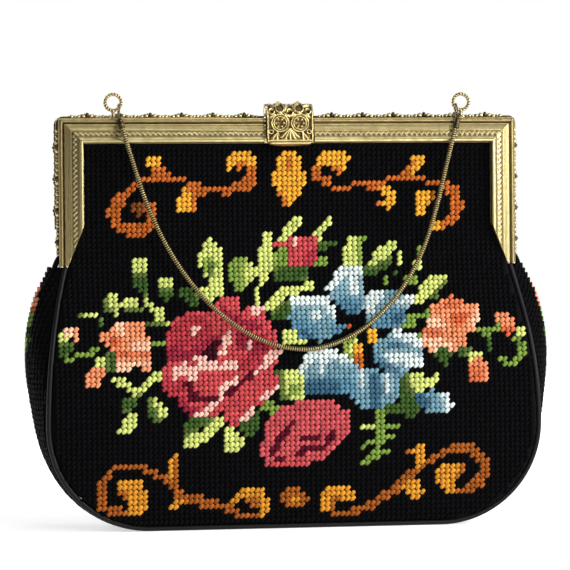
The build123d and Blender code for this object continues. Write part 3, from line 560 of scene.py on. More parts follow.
# Leaves over the big rose
field("leaf", "lime", (136, 259), (140, 254), (151, 262), (151, 275), (136, 275))
field("leaf", "moss", (136, 274), (150, 274), (150, 300), (146, 300), (143, 291), (136, 288))
field("leaf", "lime", (160, 276), (174, 276), (174, 286), (160, 286))
field("leaf", "moss", (160, 286), (174, 286), (175, 296), (168, 304), (163, 299))
field("leaf", "lime", (201, 251), (211, 239), (225, 250), (227, 278), (221, 292), (213, 285), (203, 270),
      (199, 262))
field("leaf", "leaf", (206, 258), (212, 255), (217, 265), (216, 277), (206, 270))
field("leaf", "moss", (209, 265), (215, 264), (215, 276), (209, 274))
field("leaf", "moss", (179, 291), (188, 286), (200, 295), (202, 304), (191, 304))
field("leaf", "lime", (196, 287), (213, 284), (216, 276), (223, 277), (227, 292), (218, 297), (212, 304),
      (203, 298))
field("leaf", "leaf", (231, 264), (237, 259), (250, 259), (253, 277), (248, 287), (240, 296), (234, 290),
      (231, 275))
field("leaf", "lime", (243, 266), (252, 263), (253, 280), (244, 288))
field("leaf", "lime", (265, 235), (274, 232), (275, 248), (271, 258), (272, 272), (265, 287), (258, 290),
      (256, 270), (257, 256), (262, 245))
field("leaf", "leaf", (271, 251), (289, 249), (291, 262), (287, 271), (272, 272))
field("leaf", "moss", (273, 270), (309, 270), (308, 281), (275, 281))
field("leaf", "lime", (280, 242), (283, 230), (290, 226), (291, 217), (299, 215), (302, 220), (299, 232),
      (292, 237), (289, 242))
field("leaf", "lime", (308, 241), (316, 232), (324, 222), (332, 219), (334, 224), (325, 232), (321, 241),
      (313, 244))
field("leaf", "moss", (318, 242), (338, 241), (338, 247), (326, 249), (324, 255), (318, 254))
field("leaf", "leaf", (314, 258), (328, 257), (328, 264), (322, 270), (314, 270))
line("leaf", "lime", 5, (256, 290), (256, 308))
# Leaves over the blue flower
field("leaf", "lime", (343, 259), (346, 245), (350, 237), (364, 236), (365, 250), (362, 263), (356, 267),
      (344, 268))
field("leaf", "leaf", (357, 240), (365, 240), (365, 268), (357, 268))
field("leaf", "moss", (360, 268), (375, 267), (374, 278), (362, 278))
field("leaf", "lime", (369, 269), (372, 258), (381, 248), (390, 243), (398, 240), (399, 246), (391, 256),
      (384, 263), (376, 268))
field("leaf", "moss", (371, 271), (380, 265), (390, 258), (395, 262), (385, 273), (374, 278))
line("leaf", "lime", 5, (402, 253), (402, 266))
line("leaf", "leaf", 5, (421, 252), (421, 258))
field("leaf", "lime", (413, 262), (424, 260), (424, 272), (413, 271))
line("leaf", "leaf", 5, (388, 277), (388, 287))
field("leaf", "leaf", (405, 278), (420, 276), (419, 287), (405, 288))
line("leaf", "moss", 5, (398, 271), (398, 276))
field("leaf", "lime", (416, 306), (416, 296), (421, 288), (429, 279), (440, 277), (449, 277), (441, 285),
      (436, 292), (428, 299), (421, 307))
field("leaf", "moss", (434, 294), (440, 287), (448, 280), (444, 291), (438, 299), (430, 302))
field("leaf", "leaf", (403, 321), (412, 315), (431, 313), (431, 320), (416, 322), (414, 330), (404, 330))
field("leaf", "leaf", (414, 335), (424, 335), (424, 341), (414, 341))
# Leaves between the flowers
field("leaf", "lime", (263, 313), (268, 300), (276, 293), (284, 287), (300, 285), (314, 284), (312, 291),
      (300, 294), (288, 297), (280, 304), (272, 310))
field("leaf", "moss", (270, 313), (279, 304), (290, 300), (288, 316), (282, 323), (272, 321))
field("leaf", "lime", (280, 333), (285, 328), (295, 329), (298, 338), (307, 340), (306, 346), (294, 346),
      (283, 342))
field("leaf", "moss", (275, 371), (285, 369), (288, 400), (279, 400))
field("leaf", "lime", (284, 371), (296, 369), (304, 380), (304, 401), (289, 401), (284, 390))
field("leaf", "leaf", (289, 383), (296, 383), (297, 394), (290, 396))
field("leaf", "leaf", (260, 405), (266, 400), (275, 403), (279, 408), (275, 415), (269, 411), (262, 411))
# Leaves round the left bud
field("leaf", "moss", (104, 299), (113, 298), (114, 311), (105, 311))
field("leaf", "lime", (111, 299), (114, 292), (121, 296), (124, 306), (119, 315), (113, 308))
field("leaf", "lime", (126, 298), (142, 297), (142, 304), (126, 304))
field("leaf", "moss", (126, 304), (142, 304), (149, 308), (144, 313), (128, 311))
field("leaf", "lime", (144, 296), (151, 296), (151, 304), (144, 306))
field("leaf", "lime", (151, 302), (157, 302), (157, 309), (151, 309))
field("leaf", "lime", (158, 307), (167, 307), (168, 320), (158, 320))
field("leaf", "lime", (167, 319), (173, 319), (173, 324), (167, 324))
line("leaf", "moss", 5, (148, 321), (163, 322))
line("leaf", "moss", 6, (86, 314), (101, 315), (104, 322))
line("leaf", "lime", 5, (89, 315), (97, 314))
field("leaf", "lime", (58, 331), (65, 329), (71, 334), (70, 342), (60, 343))
field("leaf", "moss", (60, 342), (76, 340), (76, 348), (68, 357), (62, 352))
line("leaf", "leaf", 5, (68, 357), (82, 354), (94, 350), (103, 345))
field("leaf", "lime", (99, 355), (104, 352), (109, 355), (108, 364), (100, 364))
field("leaf", "moss", (107, 351), (117, 352), (118, 368), (109, 368))
line("leaf", "leaf", 5, (151, 342), (163, 342))
line("leaf", "lime", 9, (119, 379), (129, 382), (137, 390), (145, 387), (151, 379), (159, 374))
field("leaf", "moss", (124, 398), (134, 393), (145, 391), (137, 402), (132, 410), (123, 412))
field("leaf", "lime", (119, 428), (124, 418), (131, 409), (135, 408), (142, 415), (137, 422), (130, 429))
field("leaf", "moss", (148, 391), (153, 396), (157, 406), (160, 415), (166, 416), (165, 423), (157, 422),
      (149, 412))
field("leaf", "lime", (151, 396), (154, 393), (160, 401), (167, 407), (166, 415), (158, 414), (155, 404))
# Leaves under the roses
field("leaf", "moss", (180, 432), (184, 422), (190, 416), (200, 414), (219, 412), (205, 425), (195, 429),
      (187, 436))
field("leaf", "lime", (179, 446), (186, 436), (195, 429), (206, 427), (216, 417), (222, 415), (221, 427),
      (211, 436), (200, 442), (190, 445), (185, 448))
field("leaf", "lime", (226, 427), (235, 425), (236, 432), (240, 434), (246, 430), (246, 438), (240, 445),
      (235, 451), (226, 450))
field("leaf", "moss", (236, 424), (243, 418), (252, 407), (257, 409), (257, 430), (247, 438), (241, 431))
# Leaves under the blue flower
field("leaf", "moss", (400, 377), (409, 370), (418, 380), (419, 392), (414, 400), (420, 408), (414, 422),
      (405, 417), (383, 414), (385, 402), (400, 404))
field("leaf", "lime", (406, 385), (412, 376), (419, 370), (422, 378), (430, 381), (437, 374), (439, 381),
      (431, 388), (424, 390), (426, 396), (434, 399), (427, 402), (420, 396), (412, 391))
line("leaf", "leaf", 8, (381, 408), (378, 425), (379, 438), (376, 454), (365, 463))
line("leaf", "leaf", 5, (360, 427), (398, 426))
line("leaf", "lime", 4, (360, 427), (370, 427))
line("leaf", "leaf", 5, (359, 447), (370, 443), (391, 439))
line("leaf", "leaf", 5, (366, 462), (373, 456), (387, 454))
# Leaves round the right bud
field("leaf", "moss", (432, 352), (450, 349), (452, 360), (446, 369), (436, 362))
field("leaf", "moss", (455, 350), (471, 351), (470, 361), (460, 360))
field("leaf", "lime", (469, 355), (477, 352), (485, 354), (485, 363), (470, 364))
line("leaf", "leaf", 6, (477, 331), (486, 337), (500, 330))
line("leaf", "moss", 5, (490, 340), (491, 352))
field("leaf", "lime", (515, 329), (522, 327), (526, 335), (524, 344), (517, 341))
line("leaf", "leaf", 7, (517, 340), (522, 347), (523, 356), (518, 364), (509, 367), (500, 361))
line("leaf", "moss", 5, (519, 341), (523, 350))
# Roses
field("rose", "rose", (188, 313), (174, 320), (166, 336), (166, 361), (161, 370), (161, 386), (176, 394),
      (176, 401), (193, 417), (221, 412), (229, 425), (236, 424), (239, 418), (262, 404), (281, 383),
      (272, 371), (280, 362), (280, 351), (275, 337), (274, 328), (269, 322), (268, 312), (263, 306),
      (249, 306), (243, 313), (242, 302), (236, 297), (219, 296), (217, 308), (211, 313))
field("rose", "rose_mid", (166, 337), (176, 321), (189, 315), (208, 318), (211, 332), (206, 348),
      (170, 361), (166, 359))
field("rose", "rose_mid", (162, 375), (184, 376), (192, 385), (189, 399), (177, 396), (162, 387))
field("rose", "rose_mid", (226, 388), (242, 378), (236, 388), (222, 398), (206, 410), (200, 405))
field("rose", "rose_mid", (238, 352), (250, 353), (266, 350), (262, 362), (250, 372), (240, 371))
field("rose", "rose_shade", (166, 345), (186, 348), (204, 345), (204, 358), (186, 360), (166, 360))
field("rose", "rose_shade", (236, 331), (250, 332), (266, 336), (267, 350), (250, 353), (238, 350))
field("rose", "rose_shade", (218, 300), (228, 312), (243, 320), (262, 324), (262, 330), (240, 327),
      (222, 318))
field("rose", "rose_shade", (176, 392), (190, 402), (200, 410), (193, 417), (176, 402))
field("rose", "maroon", (221, 395), (232, 386), (244, 378), (252, 370), (254, 374), (244, 384),
      (233, 392), (223, 397))
field("rose", "maroon", (184, 380), (193, 380), (194, 391), (206, 394), (222, 394), (220, 401),
      (206, 402), (190, 397))
field("rose", "rose_shade", (199, 344), (210, 336), (222, 332), (220, 338), (208, 350), (204, 360),
      (199, 356))
field("rose", "rose_heart", (205, 352), (210, 342), (216, 338), (221, 341), (219, 353), (213, 362),
      (207, 360))
field("rose", "rose_light", (189, 334), (193, 328), (201, 322), (205, 325), (196, 333), (191, 337))
field("rose", "rose_light", (220, 341), (224, 333), (231, 329), (235, 336), (229, 345), (228, 356),
      (220, 355))
field("rose", "rose_light", (171, 375), (174, 366), (182, 361), (190, 361), (189, 370), (180, 376),
      (172, 379))
field("rose", "rose_light", (190, 366), (197, 366), (196, 378), (190, 378))
field("rose", "rose_light", (195, 356), (205, 356), (207, 361), (217, 361), (216, 371), (200, 370),
      (196, 362))
field("rose", "rose_light", (217, 366), (226, 360), (237, 360), (236, 370), (218, 372))
field("rose", "rose_light", (216, 392), (224, 383), (234, 376), (242, 374), (238, 382), (226, 390),
      (219, 394))
field("rose", "rose_light", (265, 353), (271, 348), (281, 350), (280, 357), (272, 361), (267, 366),
      (254, 377), (251, 374), (258, 367), (265, 362))
field("rose", "rose_light", (249, 307), (258, 304), (265, 306), (264, 312), (258, 317), (250, 317))
field("rose", "rose_light", (246, 340), (251, 340), (251, 350), (246, 350))
field("rose", "rose_light", (256, 401), (264, 393), (273, 386), (280, 384), (277, 391), (266, 398),
      (259, 403))
field("rose", "rose_light", (191, 417), (200, 409), (211, 401), (221, 396), (222, 401), (212, 408),
      (202, 416))
field("rose", "rose_light", (236, 420), (243, 413), (252, 407), (253, 412), (245, 419), (240, 422))
field("rose", "coral", (264, 422), (279, 407), (294, 405), (297, 401), (334, 401), (348, 413), (347, 436),
      (325, 458), (308, 463), (300, 468), (266, 468), (257, 447), (263, 435))
line("rose", "maroon", 6, (291, 422), (283, 433), (275, 443), (272, 455), (281, 458))
line("rose", "maroon", 5, (303, 437), (318, 437))
line("rose", "maroon", 6, (331, 431), (329, 440), (322, 447))
line("rose", "maroon", 6, (298, 452), (308, 447), (320, 449))
field("rose", "rose", (270, 460), (300, 458), (300, 468), (268, 468))
field("rose", "rose", (288, 239), (316, 238), (318, 256), (313, 270), (287, 270), (287, 261), (293, 249))
field("rose", "rose", (274, 243), (296, 243), (296, 253), (287, 249), (274, 249))
field("rose", "rose_mid", (302, 254), (318, 249), (314, 270), (302, 270))
field("rose", "rose_light", (290, 238), (298, 238), (300, 245), (293, 248))
# Blue flower
field("blue", "sky", (340, 268), (359, 268), (365, 280), (366, 304), (356, 319), (341, 312), (332, 301),
      (325, 289))
field("blue", "ice", (325, 289), (333, 279), (340, 267), (360, 267), (363, 276), (352, 275), (343, 281),
      (336, 290), (329, 296))
field("blue", "ice", (349, 279), (357, 279), (357, 298), (350, 298))
field("blue", "blue", (336, 302), (348, 298), (364, 300), (357, 319), (341, 312))
field("blue", "deep_blue", (345, 309), (353, 309), (356, 319), (348, 316))
field("blue", "sky", (291, 298), (324, 296), (337, 312), (338, 327), (331, 339), (318, 343), (299, 338),
      (288, 320))
field("blue", "ice", (290, 297), (324, 295), (338, 311), (337, 320), (330, 320), (324, 306), (308, 304),
      (292, 304))
field("blue", "ice", (312, 311), (321, 311), (321, 323), (312, 322))
field("blue", "blue", (289, 318), (303, 320), (315, 328), (318, 343), (299, 338))
field("blue", "deep_blue", (296, 328), (307, 328), (311, 341), (300, 338))
field("blue", "blue", (330, 326), (343, 322), (348, 330), (336, 338))
field("blue", "sky", (366, 295), (396, 294), (416, 298), (406, 316), (403, 328), (391, 332), (374, 332),
      (364, 318))
field("blue", "ice", (364, 300), (370, 294), (386, 294), (380, 304), (372, 315), (364, 316))
field("blue", "ice", (392, 300), (404, 299), (416, 297), (411, 308), (398, 309))
field("blue", "blue", (380, 314), (404, 311), (403, 328), (391, 332), (376, 331))
field("blue", "deep_blue", (393, 318), (404, 317), (402, 329), (393, 330))
field("blue", "sky", (377, 341), (395, 333), (418, 338), (424, 350), (423, 363), (402, 378), (380, 369),
      (370, 355))
field("blue", "ice", (390, 334), (396, 331), (414, 336), (424, 345), (423, 353), (410, 344), (396, 341))
field("blue", "deep_blue", (385, 344), (409, 344), (410, 351), (386, 351))
field("blue", "ice", (385, 353), (404, 352), (423, 358), (421, 368), (408, 372), (398, 364), (386, 361))
field("blue", "blue", (371, 355), (385, 359), (392, 370), (380, 369))
field("blue", "deep_blue", (378, 367), (393, 367), (402, 378), (388, 376))
field("blue", "sky", (306, 354), (326, 349), (343, 354), (352, 361), (361, 370), (389, 373), (400, 379),
      (400, 401), (372, 412), (358, 407), (352, 398), (340, 396), (303, 395), (303, 377), (298, 370))
field("blue", "ice", (298, 370), (306, 353), (326, 348), (345, 354), (354, 362), (346, 365), (334, 359),
      (316, 360), (308, 366), (304, 377))
field("blue", "ice", (320, 360), (326, 360), (325, 375), (320, 375))
field("blue", "deep_blue", (303, 380), (318, 378), (341, 378), (341, 390), (330, 396), (303, 396))
field("blue", "blue", (341, 378), (352, 380), (358, 396), (351, 398), (341, 394))
field("blue", "ice", (358, 366), (365, 366), (365, 390), (359, 390))
field("blue", "deep_blue", (369, 377), (381, 376), (382, 392), (377, 411), (370, 411))
field("blue", "ice", (382, 373), (390, 373), (391, 394), (384, 394))
field("blue", "sky", (413, 399), (424, 395), (431, 391), (437, 396), (447, 395), (453, 407), (450, 417),
      (425, 416))
field("blue", "ice", (436, 395), (448, 394), (453, 407), (450, 418), (443, 416), (446, 404))
field("blue", "deep_blue", (413, 398), (422, 396), (431, 405), (426, 412), (416, 405))
field("leaf", "leaf", (339, 338), (357, 336), (357, 356), (350, 360), (342, 350))
field("leaf", "lime", (346, 344), (357, 340), (357, 352), (349, 354))
field("scroll", "gold", (365, 331), (375, 331), (375, 347), (366, 346))
field("scroll", "gold", (355, 342), (364, 343), (364, 355), (355, 355))
field("scroll", "amber", (354, 355), (364, 355), (364, 369), (356, 366))
field("scroll", "rust", (348, 325), (354, 325), (354, 331), (348, 331))
# Buds
field("peach", "peach", (103, 331), (114, 326), (119, 319), (142, 319), (149, 331), (150, 341),
      (154, 351), (153, 360), (151, 372), (143, 371), (140, 365), (133, 366), (128, 371), (119, 370),
      (118, 357), (114, 348), (107, 346), (103, 338))
field("peach", "peach_light", (117, 320), (127, 320), (127, 333), (117, 331))
field("peach", "peach_light", (130, 341), (151, 341), (151, 348), (130, 347))
field("peach", "rust", (114, 348), (154, 348), (154, 356), (117, 355))
field("peach", "rust", (112, 333), (119, 335), (122, 346), (115, 346))
field("peach", "peach_light", (118, 361), (152, 358), (150, 365), (133, 364), (128, 371), (119, 370))
field("peach", "peach", (431, 308), (444, 302), (451, 298), (454, 303), (466, 302), (468, 307),
      (480, 309), (482, 318), (478, 329), (469, 338), (466, 348), (455, 354), (451, 353), (448, 347),
      (432, 355), (423, 346), (424, 332), (428, 321), (431, 314))
field("peach", "terracotta", (441, 307), (450, 297), (460, 301), (467, 304), (457, 310), (444, 312))
field("peach", "rust", (453, 316), (468, 315), (469, 322), (460, 328), (453, 326))
field("peach", "rust", (424, 329), (441, 328), (443, 338), (425, 340))
field("peach", "peach_light", (427, 322), (445, 323), (444, 328), (427, 328))
field("peach", "peach_light", (423, 342), (440, 341), (455, 346), (455, 353), (450, 352), (447, 347),
      (432, 354))
field("peach", "peach_light", (474, 312), (482, 314), (480, 326), (473, 330))
field("peach", "peach", (70, 330), (75, 324), (82, 323), (82, 337), (76, 338))
field("peach", "peach_light", (67, 329), (72, 324), (77, 324), (76, 332), (70, 334))
field("peach", "peach", (87, 373), (97, 365), (108, 364), (109, 372), (100, 383), (88, 383))
field("peach", "peach", (496, 318), (503, 316), (512, 317), (516, 326), (518, 337), (505, 338),
      (503, 329), (496, 325))
field("peach", "rust", (503, 330), (515, 328), (518, 337), (505, 338))
field("peach", "peach", (465, 371), (471, 364), (477, 361), (490, 363), (490, 374), (488, 383),
      (470, 384), (471, 375))
field("peach", "terracotta", (467, 368), (478, 366), (484, 374), (482, 384), (470, 384))
shaded("blue", 0.35)
shaded("peach", 0.35)
shaded("leaf", 0.3)
shaded("scroll", 0.25)

wool = wool_finish()
canvas = canvas_finish()
canvas_bottom = seam_height + panel_inset
canvas_outer = panel_layer(canvas_bottom, tuck_top, panel_inset, 0)
canvas_inner = panel_layer(canvas_bottom, tuck_top, panel_inset, -panel_thickness)
points, faces = closed_sheet(canvas_outer, canvas_inner)
front_canvas = new_piece("front_panel_canvas", points, faces, canvas)
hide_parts("front_panel")
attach(front_canvas, "bag")
MOTIFS = {
    "ground": ("front_ground_stitches", None, "black_canvas", 4),
    "rose": ("rose_stitches", "rose_embroidery", "rose_wool", 6),
    "blue": ("blue_flower_stitches", "blue_flower_embroidery", "blue_wool", 6),
    "peach": ("peach_bud_stitches", "peach_bud_embroidery", "peach_wool", 6),
    "scroll": ("scroll_stitches", "scroll_embroidery", "gold_wool", 6),
    "leaf": ("leaf_stitches", "leaf_embroidery", "green_wool", 6),
}
for motif, (name, node, slot, facets) in MOTIFS.items():
    chosen = stitch_motif == motif
    piece = stitched_piece(
        name,
        front_centre[chosen],
        front_right[chosen],
        front_up[chosen],
        front_out[chosen],
        stitch_colour[chosen],
        facets,
        wool,
    )
    if node:
        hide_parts(node)
    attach(piece, "bag")

# Rear panel: the same black needlepoint without motifs, on its own canvas. Above the hinge it is held
# by the rear half of the frame.
rear_canvas = new_piece("rear_panel_canvas", points * to_the_rear, faces[:, ::-1], canvas)
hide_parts("rear_panel")
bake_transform(rear_canvas)
rear_grid = panel_grid(1)
rear_colour = np.tile(linear(YARNS["black"]), (len(rear_grid[0]), 1))
rear_stitches = stitched_piece("rear_panel_stitches", *rear_grid, rear_colour, 4, wool)
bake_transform(rear_stitches)

# Gusset: one needlepoint strip from hinge to hinge round the sides and the bottom, sewn to both panels
# at the piping. It swells outward at the sides, carries a small spray under each hinge and is gathered in
# a tuck beside it.
gusset_swell = 0.0112
gusset_swell_height = 0.100
gusset_swell_start = 0.025
gusset_hinge_swell = 0.0064
gusset_bottom_swell = 0.0006
gusset_round_share = 1.06
gusset_half_thickness = 0.00075
gusset_seam_room = 0.00265
gusset_top = 0.1309
gusset_tracks = 12
gusset_lining_gap = 0.00015
spray_sway = 0.004
spray_middle = 0.09
spray_wave = 0.008
TUCK_PLACE = (0.1176, -0.0042, 0.1325)
tuck_half_length = 0.0050
tuck_half_width = 0.0014
tuck_half_depth = 0.0022
tuck_lean = np.radians(21)


def gusset_path(count):
    """Points (x, z) from the right hinge round the bottom to the left one, with outward directions.

    Side arc, corner arc and bottom line are each sampled evenly, then all by running length.
    """
    samples = 200
    side_z = np.linspace(gusset_top, corner_top, samples)
    side_x = seam_side - side_radius + np.sqrt(side_radius**2 - (side_z - corner_top) ** 2)
    turn = np.linspace(np.pi / 2, 0, samples)[1:]
    half_x = np.concatenate([side_x, bottom_half + corner_radius * np.sin(turn), [0]])
    half_z = np.concatenate([side_z, corner_top - corner_radius * np.cos(turn), [seam_height]])
    out_x = np.concatenate([np.ones(samples), np.sin(turn), [0]])
    out_z = np.concatenate([np.zeros(samples), -np.cos(turn), [-1]])
    x = np.concatenate([half_x, -half_x[-2::-1]])
    z = np.concatenate([half_z, half_z[-2::-1]])
    out_x = np.concatenate([out_x, -out_x[-2::-1]])
    out_z = np.concatenate([out_z, out_z[-2::-1]])
    run = np.concatenate([[0], np.cumsum(np.hypot(np.diff(x), np.diff(z)))])
    if count is None:
        even = np.arange(stitch_pitch / 2, run[-1], stitch_pitch)
    else:
        even = np.linspace(0, run[-1], count)
    return [np.interp(even, run, values) for values in (x, z, out_x, out_z)]


def gusset_bulge(z):
    """Outward swell: a smooth step up from the bottom, then a quarter ellipse to the hinge."""
    share = np.clip((z - gusset_swell_start) / (gusset_swell_height - gusset_swell_start), 0, 1)
    low = gusset_bottom_swell + (gusset_swell - gusset_bottom_swell) * share**2 * (3 - 2 * share)
    share = np.clip((z - gusset_swell_height) / (seam_top - gusset_swell_height), 0, 1)
    high = gusset_hinge_swell + (gusset_swell - gusset_hinge_swell) * np.sqrt(1 - share**2)
    return np.where(z > gusset_swell_height, high, low)


def gusset_surface(x, z, out_x, out_z, across, lift):
    """Points of the strip: at each place of the path an arc across it, drawn through its swell.

    across runs from -1 at the front seam to 1 at the rear one. Returns points, across and out directions.
    """
    half = swell(z) - gusset_seam_room
    bulge = np.minimum(gusset_bulge(z), half * gusset_round_share)
    radius = (half**2 + bulge**2) / (2 * bulge)
    reach = np.arctan2(half, radius - bulge)
    angle = across * reach
    height = radius * np.cos(angle) - radius + bulge + lift * np.cos(angle)
    y = (radius + lift) * np.sin(angle)
    points = np.stack([x + out_x * height, y, z + out_z * height], axis=-1)
    over = np.stack([-out_x * np.sin(angle), np.cos(angle), -out_z * np.sin(angle)], axis=-1)
    out = np.stack([out_x * np.cos(angle), np.sin(angle), out_z * np.cos(angle)], axis=-1)
    return points, over, out, radius * reach


def gusset_layer(lift, rows=150, columns=18):
    """Grid of one face of the strip, at lift outward from its middle."""
    places = [values[:, None] for values in gusset_path(rows)]
    across = np.linspace(-1, 1, columns)[None, :]
    places = [values + 0 * across for values in places]
    return gusset_surface(*places, across + 0 * places[0], lift)[0]


def pebbles(place, along, across, out, length, width, depth, rings=5, sides=8):
    """Rounded grains: ellipsoids of rings by sides points, with a point at each end."""
    count = len(place)
    rise = np.radians(np.linspace(-90, 90, rings + 2)[1:-1])
    turn = 2 * np.pi * np.arange(sides) / sides
    axis = place[:, None, None] + along[:, None, None] * (length[:, None] * np.sin(rise))[..., None, None]
    girth = np.cos(rise)[None, :, None]
    wide = across[:, None, None] * (width[:, None, None] * girth * np.cos(turn))[..., None]
    deep = out[:, None, None] * (depth[:, None, None] * girth * np.sin(turn))[..., None]
    body = (axis + wide + deep).reshape(count, -1, 3)
    first = (place - along * length[:, None])[:, None]
    last = (place + along * length[:, None])[:, None]
    points = np.concatenate([first, body, last], axis=1)
    faces = grain_faces(count, rings, sides)
    return points.reshape(-1, 3), faces


gusset_outer = gusset_layer(gusset_half_thickness)
points, faces = closed_sheet(gusset_outer, gusset_layer(-gusset_half_thickness))
gusset_canvas = new_piece("gusset_canvas", points, faces[:, ::-1], canvas)
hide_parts("gusset")
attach(gusset_canvas, "bag")
lining_lift = -gusset_half_thickness - gusset_lining_gap
gusset_lining_outer = gusset_layer(lining_lift)
points, faces = closed_sheet(gusset_lining_outer, gusset_layer(lining_lift - lining_thickness))
gusset_lining = new_piece("gusset_lining_satin", points, faces[:, ::-1], satin)
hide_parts("gusset_lining")
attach(gusset_lining, "bag")
path = gusset_path(None)
tracks = np.arange(-gusset_tracks, gusset_tracks + 1) * stitch_pitch
flat_path = [np.repeat(values, len(tracks)) for values in path]
track = np.tile(tracks, len(path[0]))
reach = gusset_surface(*flat_path, np.zeros_like(track), gusset_half_thickness)[3]
keep = np.abs(track) < reach - stitch_pitch / 2
flat_path = [values[keep] for values in flat_path]
track, reach = track[keep], reach[keep]
centre, over, out, _ = gusset_surface(*flat_path, track / reach, gusset_half_thickness)
gusset_colour = np.tile(linear(YARNS["black"]), (len(centre), 1))
spray_z = centre[:, 2]
sway = track + spray_sway * np.sin((spray_z - spray_middle) / spray_wave)
GUSSET_SPRAY = (
    ("moss", 0.084, 0.100, 0.006),
    ("lime", 0.088, 0.096, 0.003),
    ("leaf", 0.100, 0.112, 0.002),
    ("peach", 0.108, 0.126, 0.006),
    ("peach_light", 0.112, 0.121, 0.003),
    ("rust", 0.108, 0.111, 0.004),
)
for yarn, low, high, wide in GUSSET_SPRAY:
    taper = np.sqrt(np.clip(1 - ((spray_z - (low + high) / 2) / ((high - low) / 2)) ** 2, 0, 1))
    inside = (np.abs(sway) < wide * taper) & (spray_z > low) & (spray_z < high)
    gusset_colour[inside] = linear(YARNS[yarn])
gusset_up = np.cross(out, over)
gusset_stitches = stitched_piece("gusset_stitches", centre, over, gusset_up, out, gusset_colour, 4, wool)
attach(gusset_stitches, "bag")
to_each_side = np.array([[-1.0, 1.0, 1.0], [1.0, 1.0, 1.0]])
tuck_along = np.array([-np.sin(tuck_lean), 0, np.cos(tuck_lean)]) * to_each_side
tuck_out = np.array([[0.0, -1.0, 0.0], [0.0, -1.0, 0.0]])
tuck_points, tuck_faces = pebbles(
    np.array(TUCK_PLACE) * to_each_side,
    tuck_along,
    np.cross(tuck_out, tuck_along),
    tuck_out,
    np.full(2, tuck_half_length),
    np.full(2, tuck_half_width),
    np.full(2, tuck_half_depth),
    rings=24,
    sides=32,
)
gusset_tucks = new_piece("gusset_tucks", tuck_points, tuck_faces, canvas)
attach(gusset_tucks, "bag")

# Piping: a cord covered in black leather, sewn into the seams between the panels and the gusset.
# It shows as a thin welt with a soft shine from hinge to hinge.
piping_radius = 0.0013
piping_seat = 0.001
piping_steps = 420
piping_sides = 12


def tube(path, radius, sides, closed=False):
    """A round tube along a path: rings square to its direction, turned as little as can be.

    radius is one value or one for each point of the path. Open ends close in a point.
    """
    path = np.asarray(path, float)
    radius = np.broadcast_to(radius, len(path))
    if closed:
        ahead = np.roll(path, -1, axis=0) - np.roll(path, 1, axis=0)
    else:
        ahead = np.gradient(path, axis=0)
    ahead /= np.linalg.norm(ahead, axis=1, keepdims=True)
    guide = np.eye(3)[np.abs(ahead).max(axis=0).argmin()]
    first = np.cross(ahead, guide)
    first /= np.linalg.norm(first, axis=1, keepdims=True)
    second = np.cross(ahead, first)
    turn = 2 * np.pi * np.arange(sides) / sides
    ring = np.cos(turn)[None, :, None] * first[:, None] + np.sin(turn)[None, :, None] * second[:, None]
    rings = path[:, None] + ring * radius[:, None, None]
    faces = grid_faces(len(path), sides, wrap_rows=closed, wrap_columns=True)
    points = rings.reshape(-1, 3)
    faces = np.concatenate([faces[:, [0, 1, 2]], faces[:, [0, 2, 3]]])
    if not closed:
        k = np.arange(sides)
        after = (k + 1) % sides
        start, end = len(points), len(points) + 1
        points = np.concatenate([points, path[:1], path[-1:]])
        last = (len(path) - 1) * sides
        faces = np.concatenate(
            [
                faces,
                np.stack([np.full(sides, start), after, k], axis=-1),
                np.stack([np.full(sides, end), last + k, last + after], axis=-1),
            ]
        )
    return points, faces


def leather_finish():
    """Thin black leather drawn over a cord: a soft shine, with fine grain and soft creases."""
    finish, shader = new_finish(
        "piping_leather",
        {"Roughness": 0.5, "Specular IOR Level": 0.16, "Base Color": (0.004, 0.004, 0.005, 1)},
    )
    place = add_node(finish, "ShaderNodeTexCoord", {}, {}).outputs["Object"]
    grain = add_node(finish, "ShaderNodeTexVoronoi", {"Vector": place}, {"Scale": 1800})
    crease = add_node(finish, "ShaderNodeTexNoise", {"Vector": place}, {"Scale": 160, "Detail": 4})
    soft = add_node(
        finish, "ShaderNodeBump", {"Height": crease.outputs["Fac"]}, {"Strength": 0.4, "Distance": 0.0008}
    )
    fine = add_node(
        finish,
        "ShaderNodeBump",
        {"Height": grain.outputs["Distance"], "Normal": soft.outputs["Normal"]},
        {"Strength": 0.2, "Distance": 0.0002},
    )
    finish.node_tree.links.new(fine.outputs["Normal"], shader.inputs["Normal"])
    return finish


leather = leather_finish()
piping_x, piping_z, _, _ = gusset_path(piping_steps)
piping_line = np.stack([piping_x, piping_seat - swell(piping_z), piping_z], axis=-1)
points, faces = tube(piping_line, piping_radius, piping_sides)
for name, node, turned in (("front", "front_piping", 1), ("rear", "rear_piping", -1)):
    piping = new_piece(f"{name}_piping_leather", points * [1, turned, 1], faces[:, ::turned], leather)
    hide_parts(node)
    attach(piping, "bag")
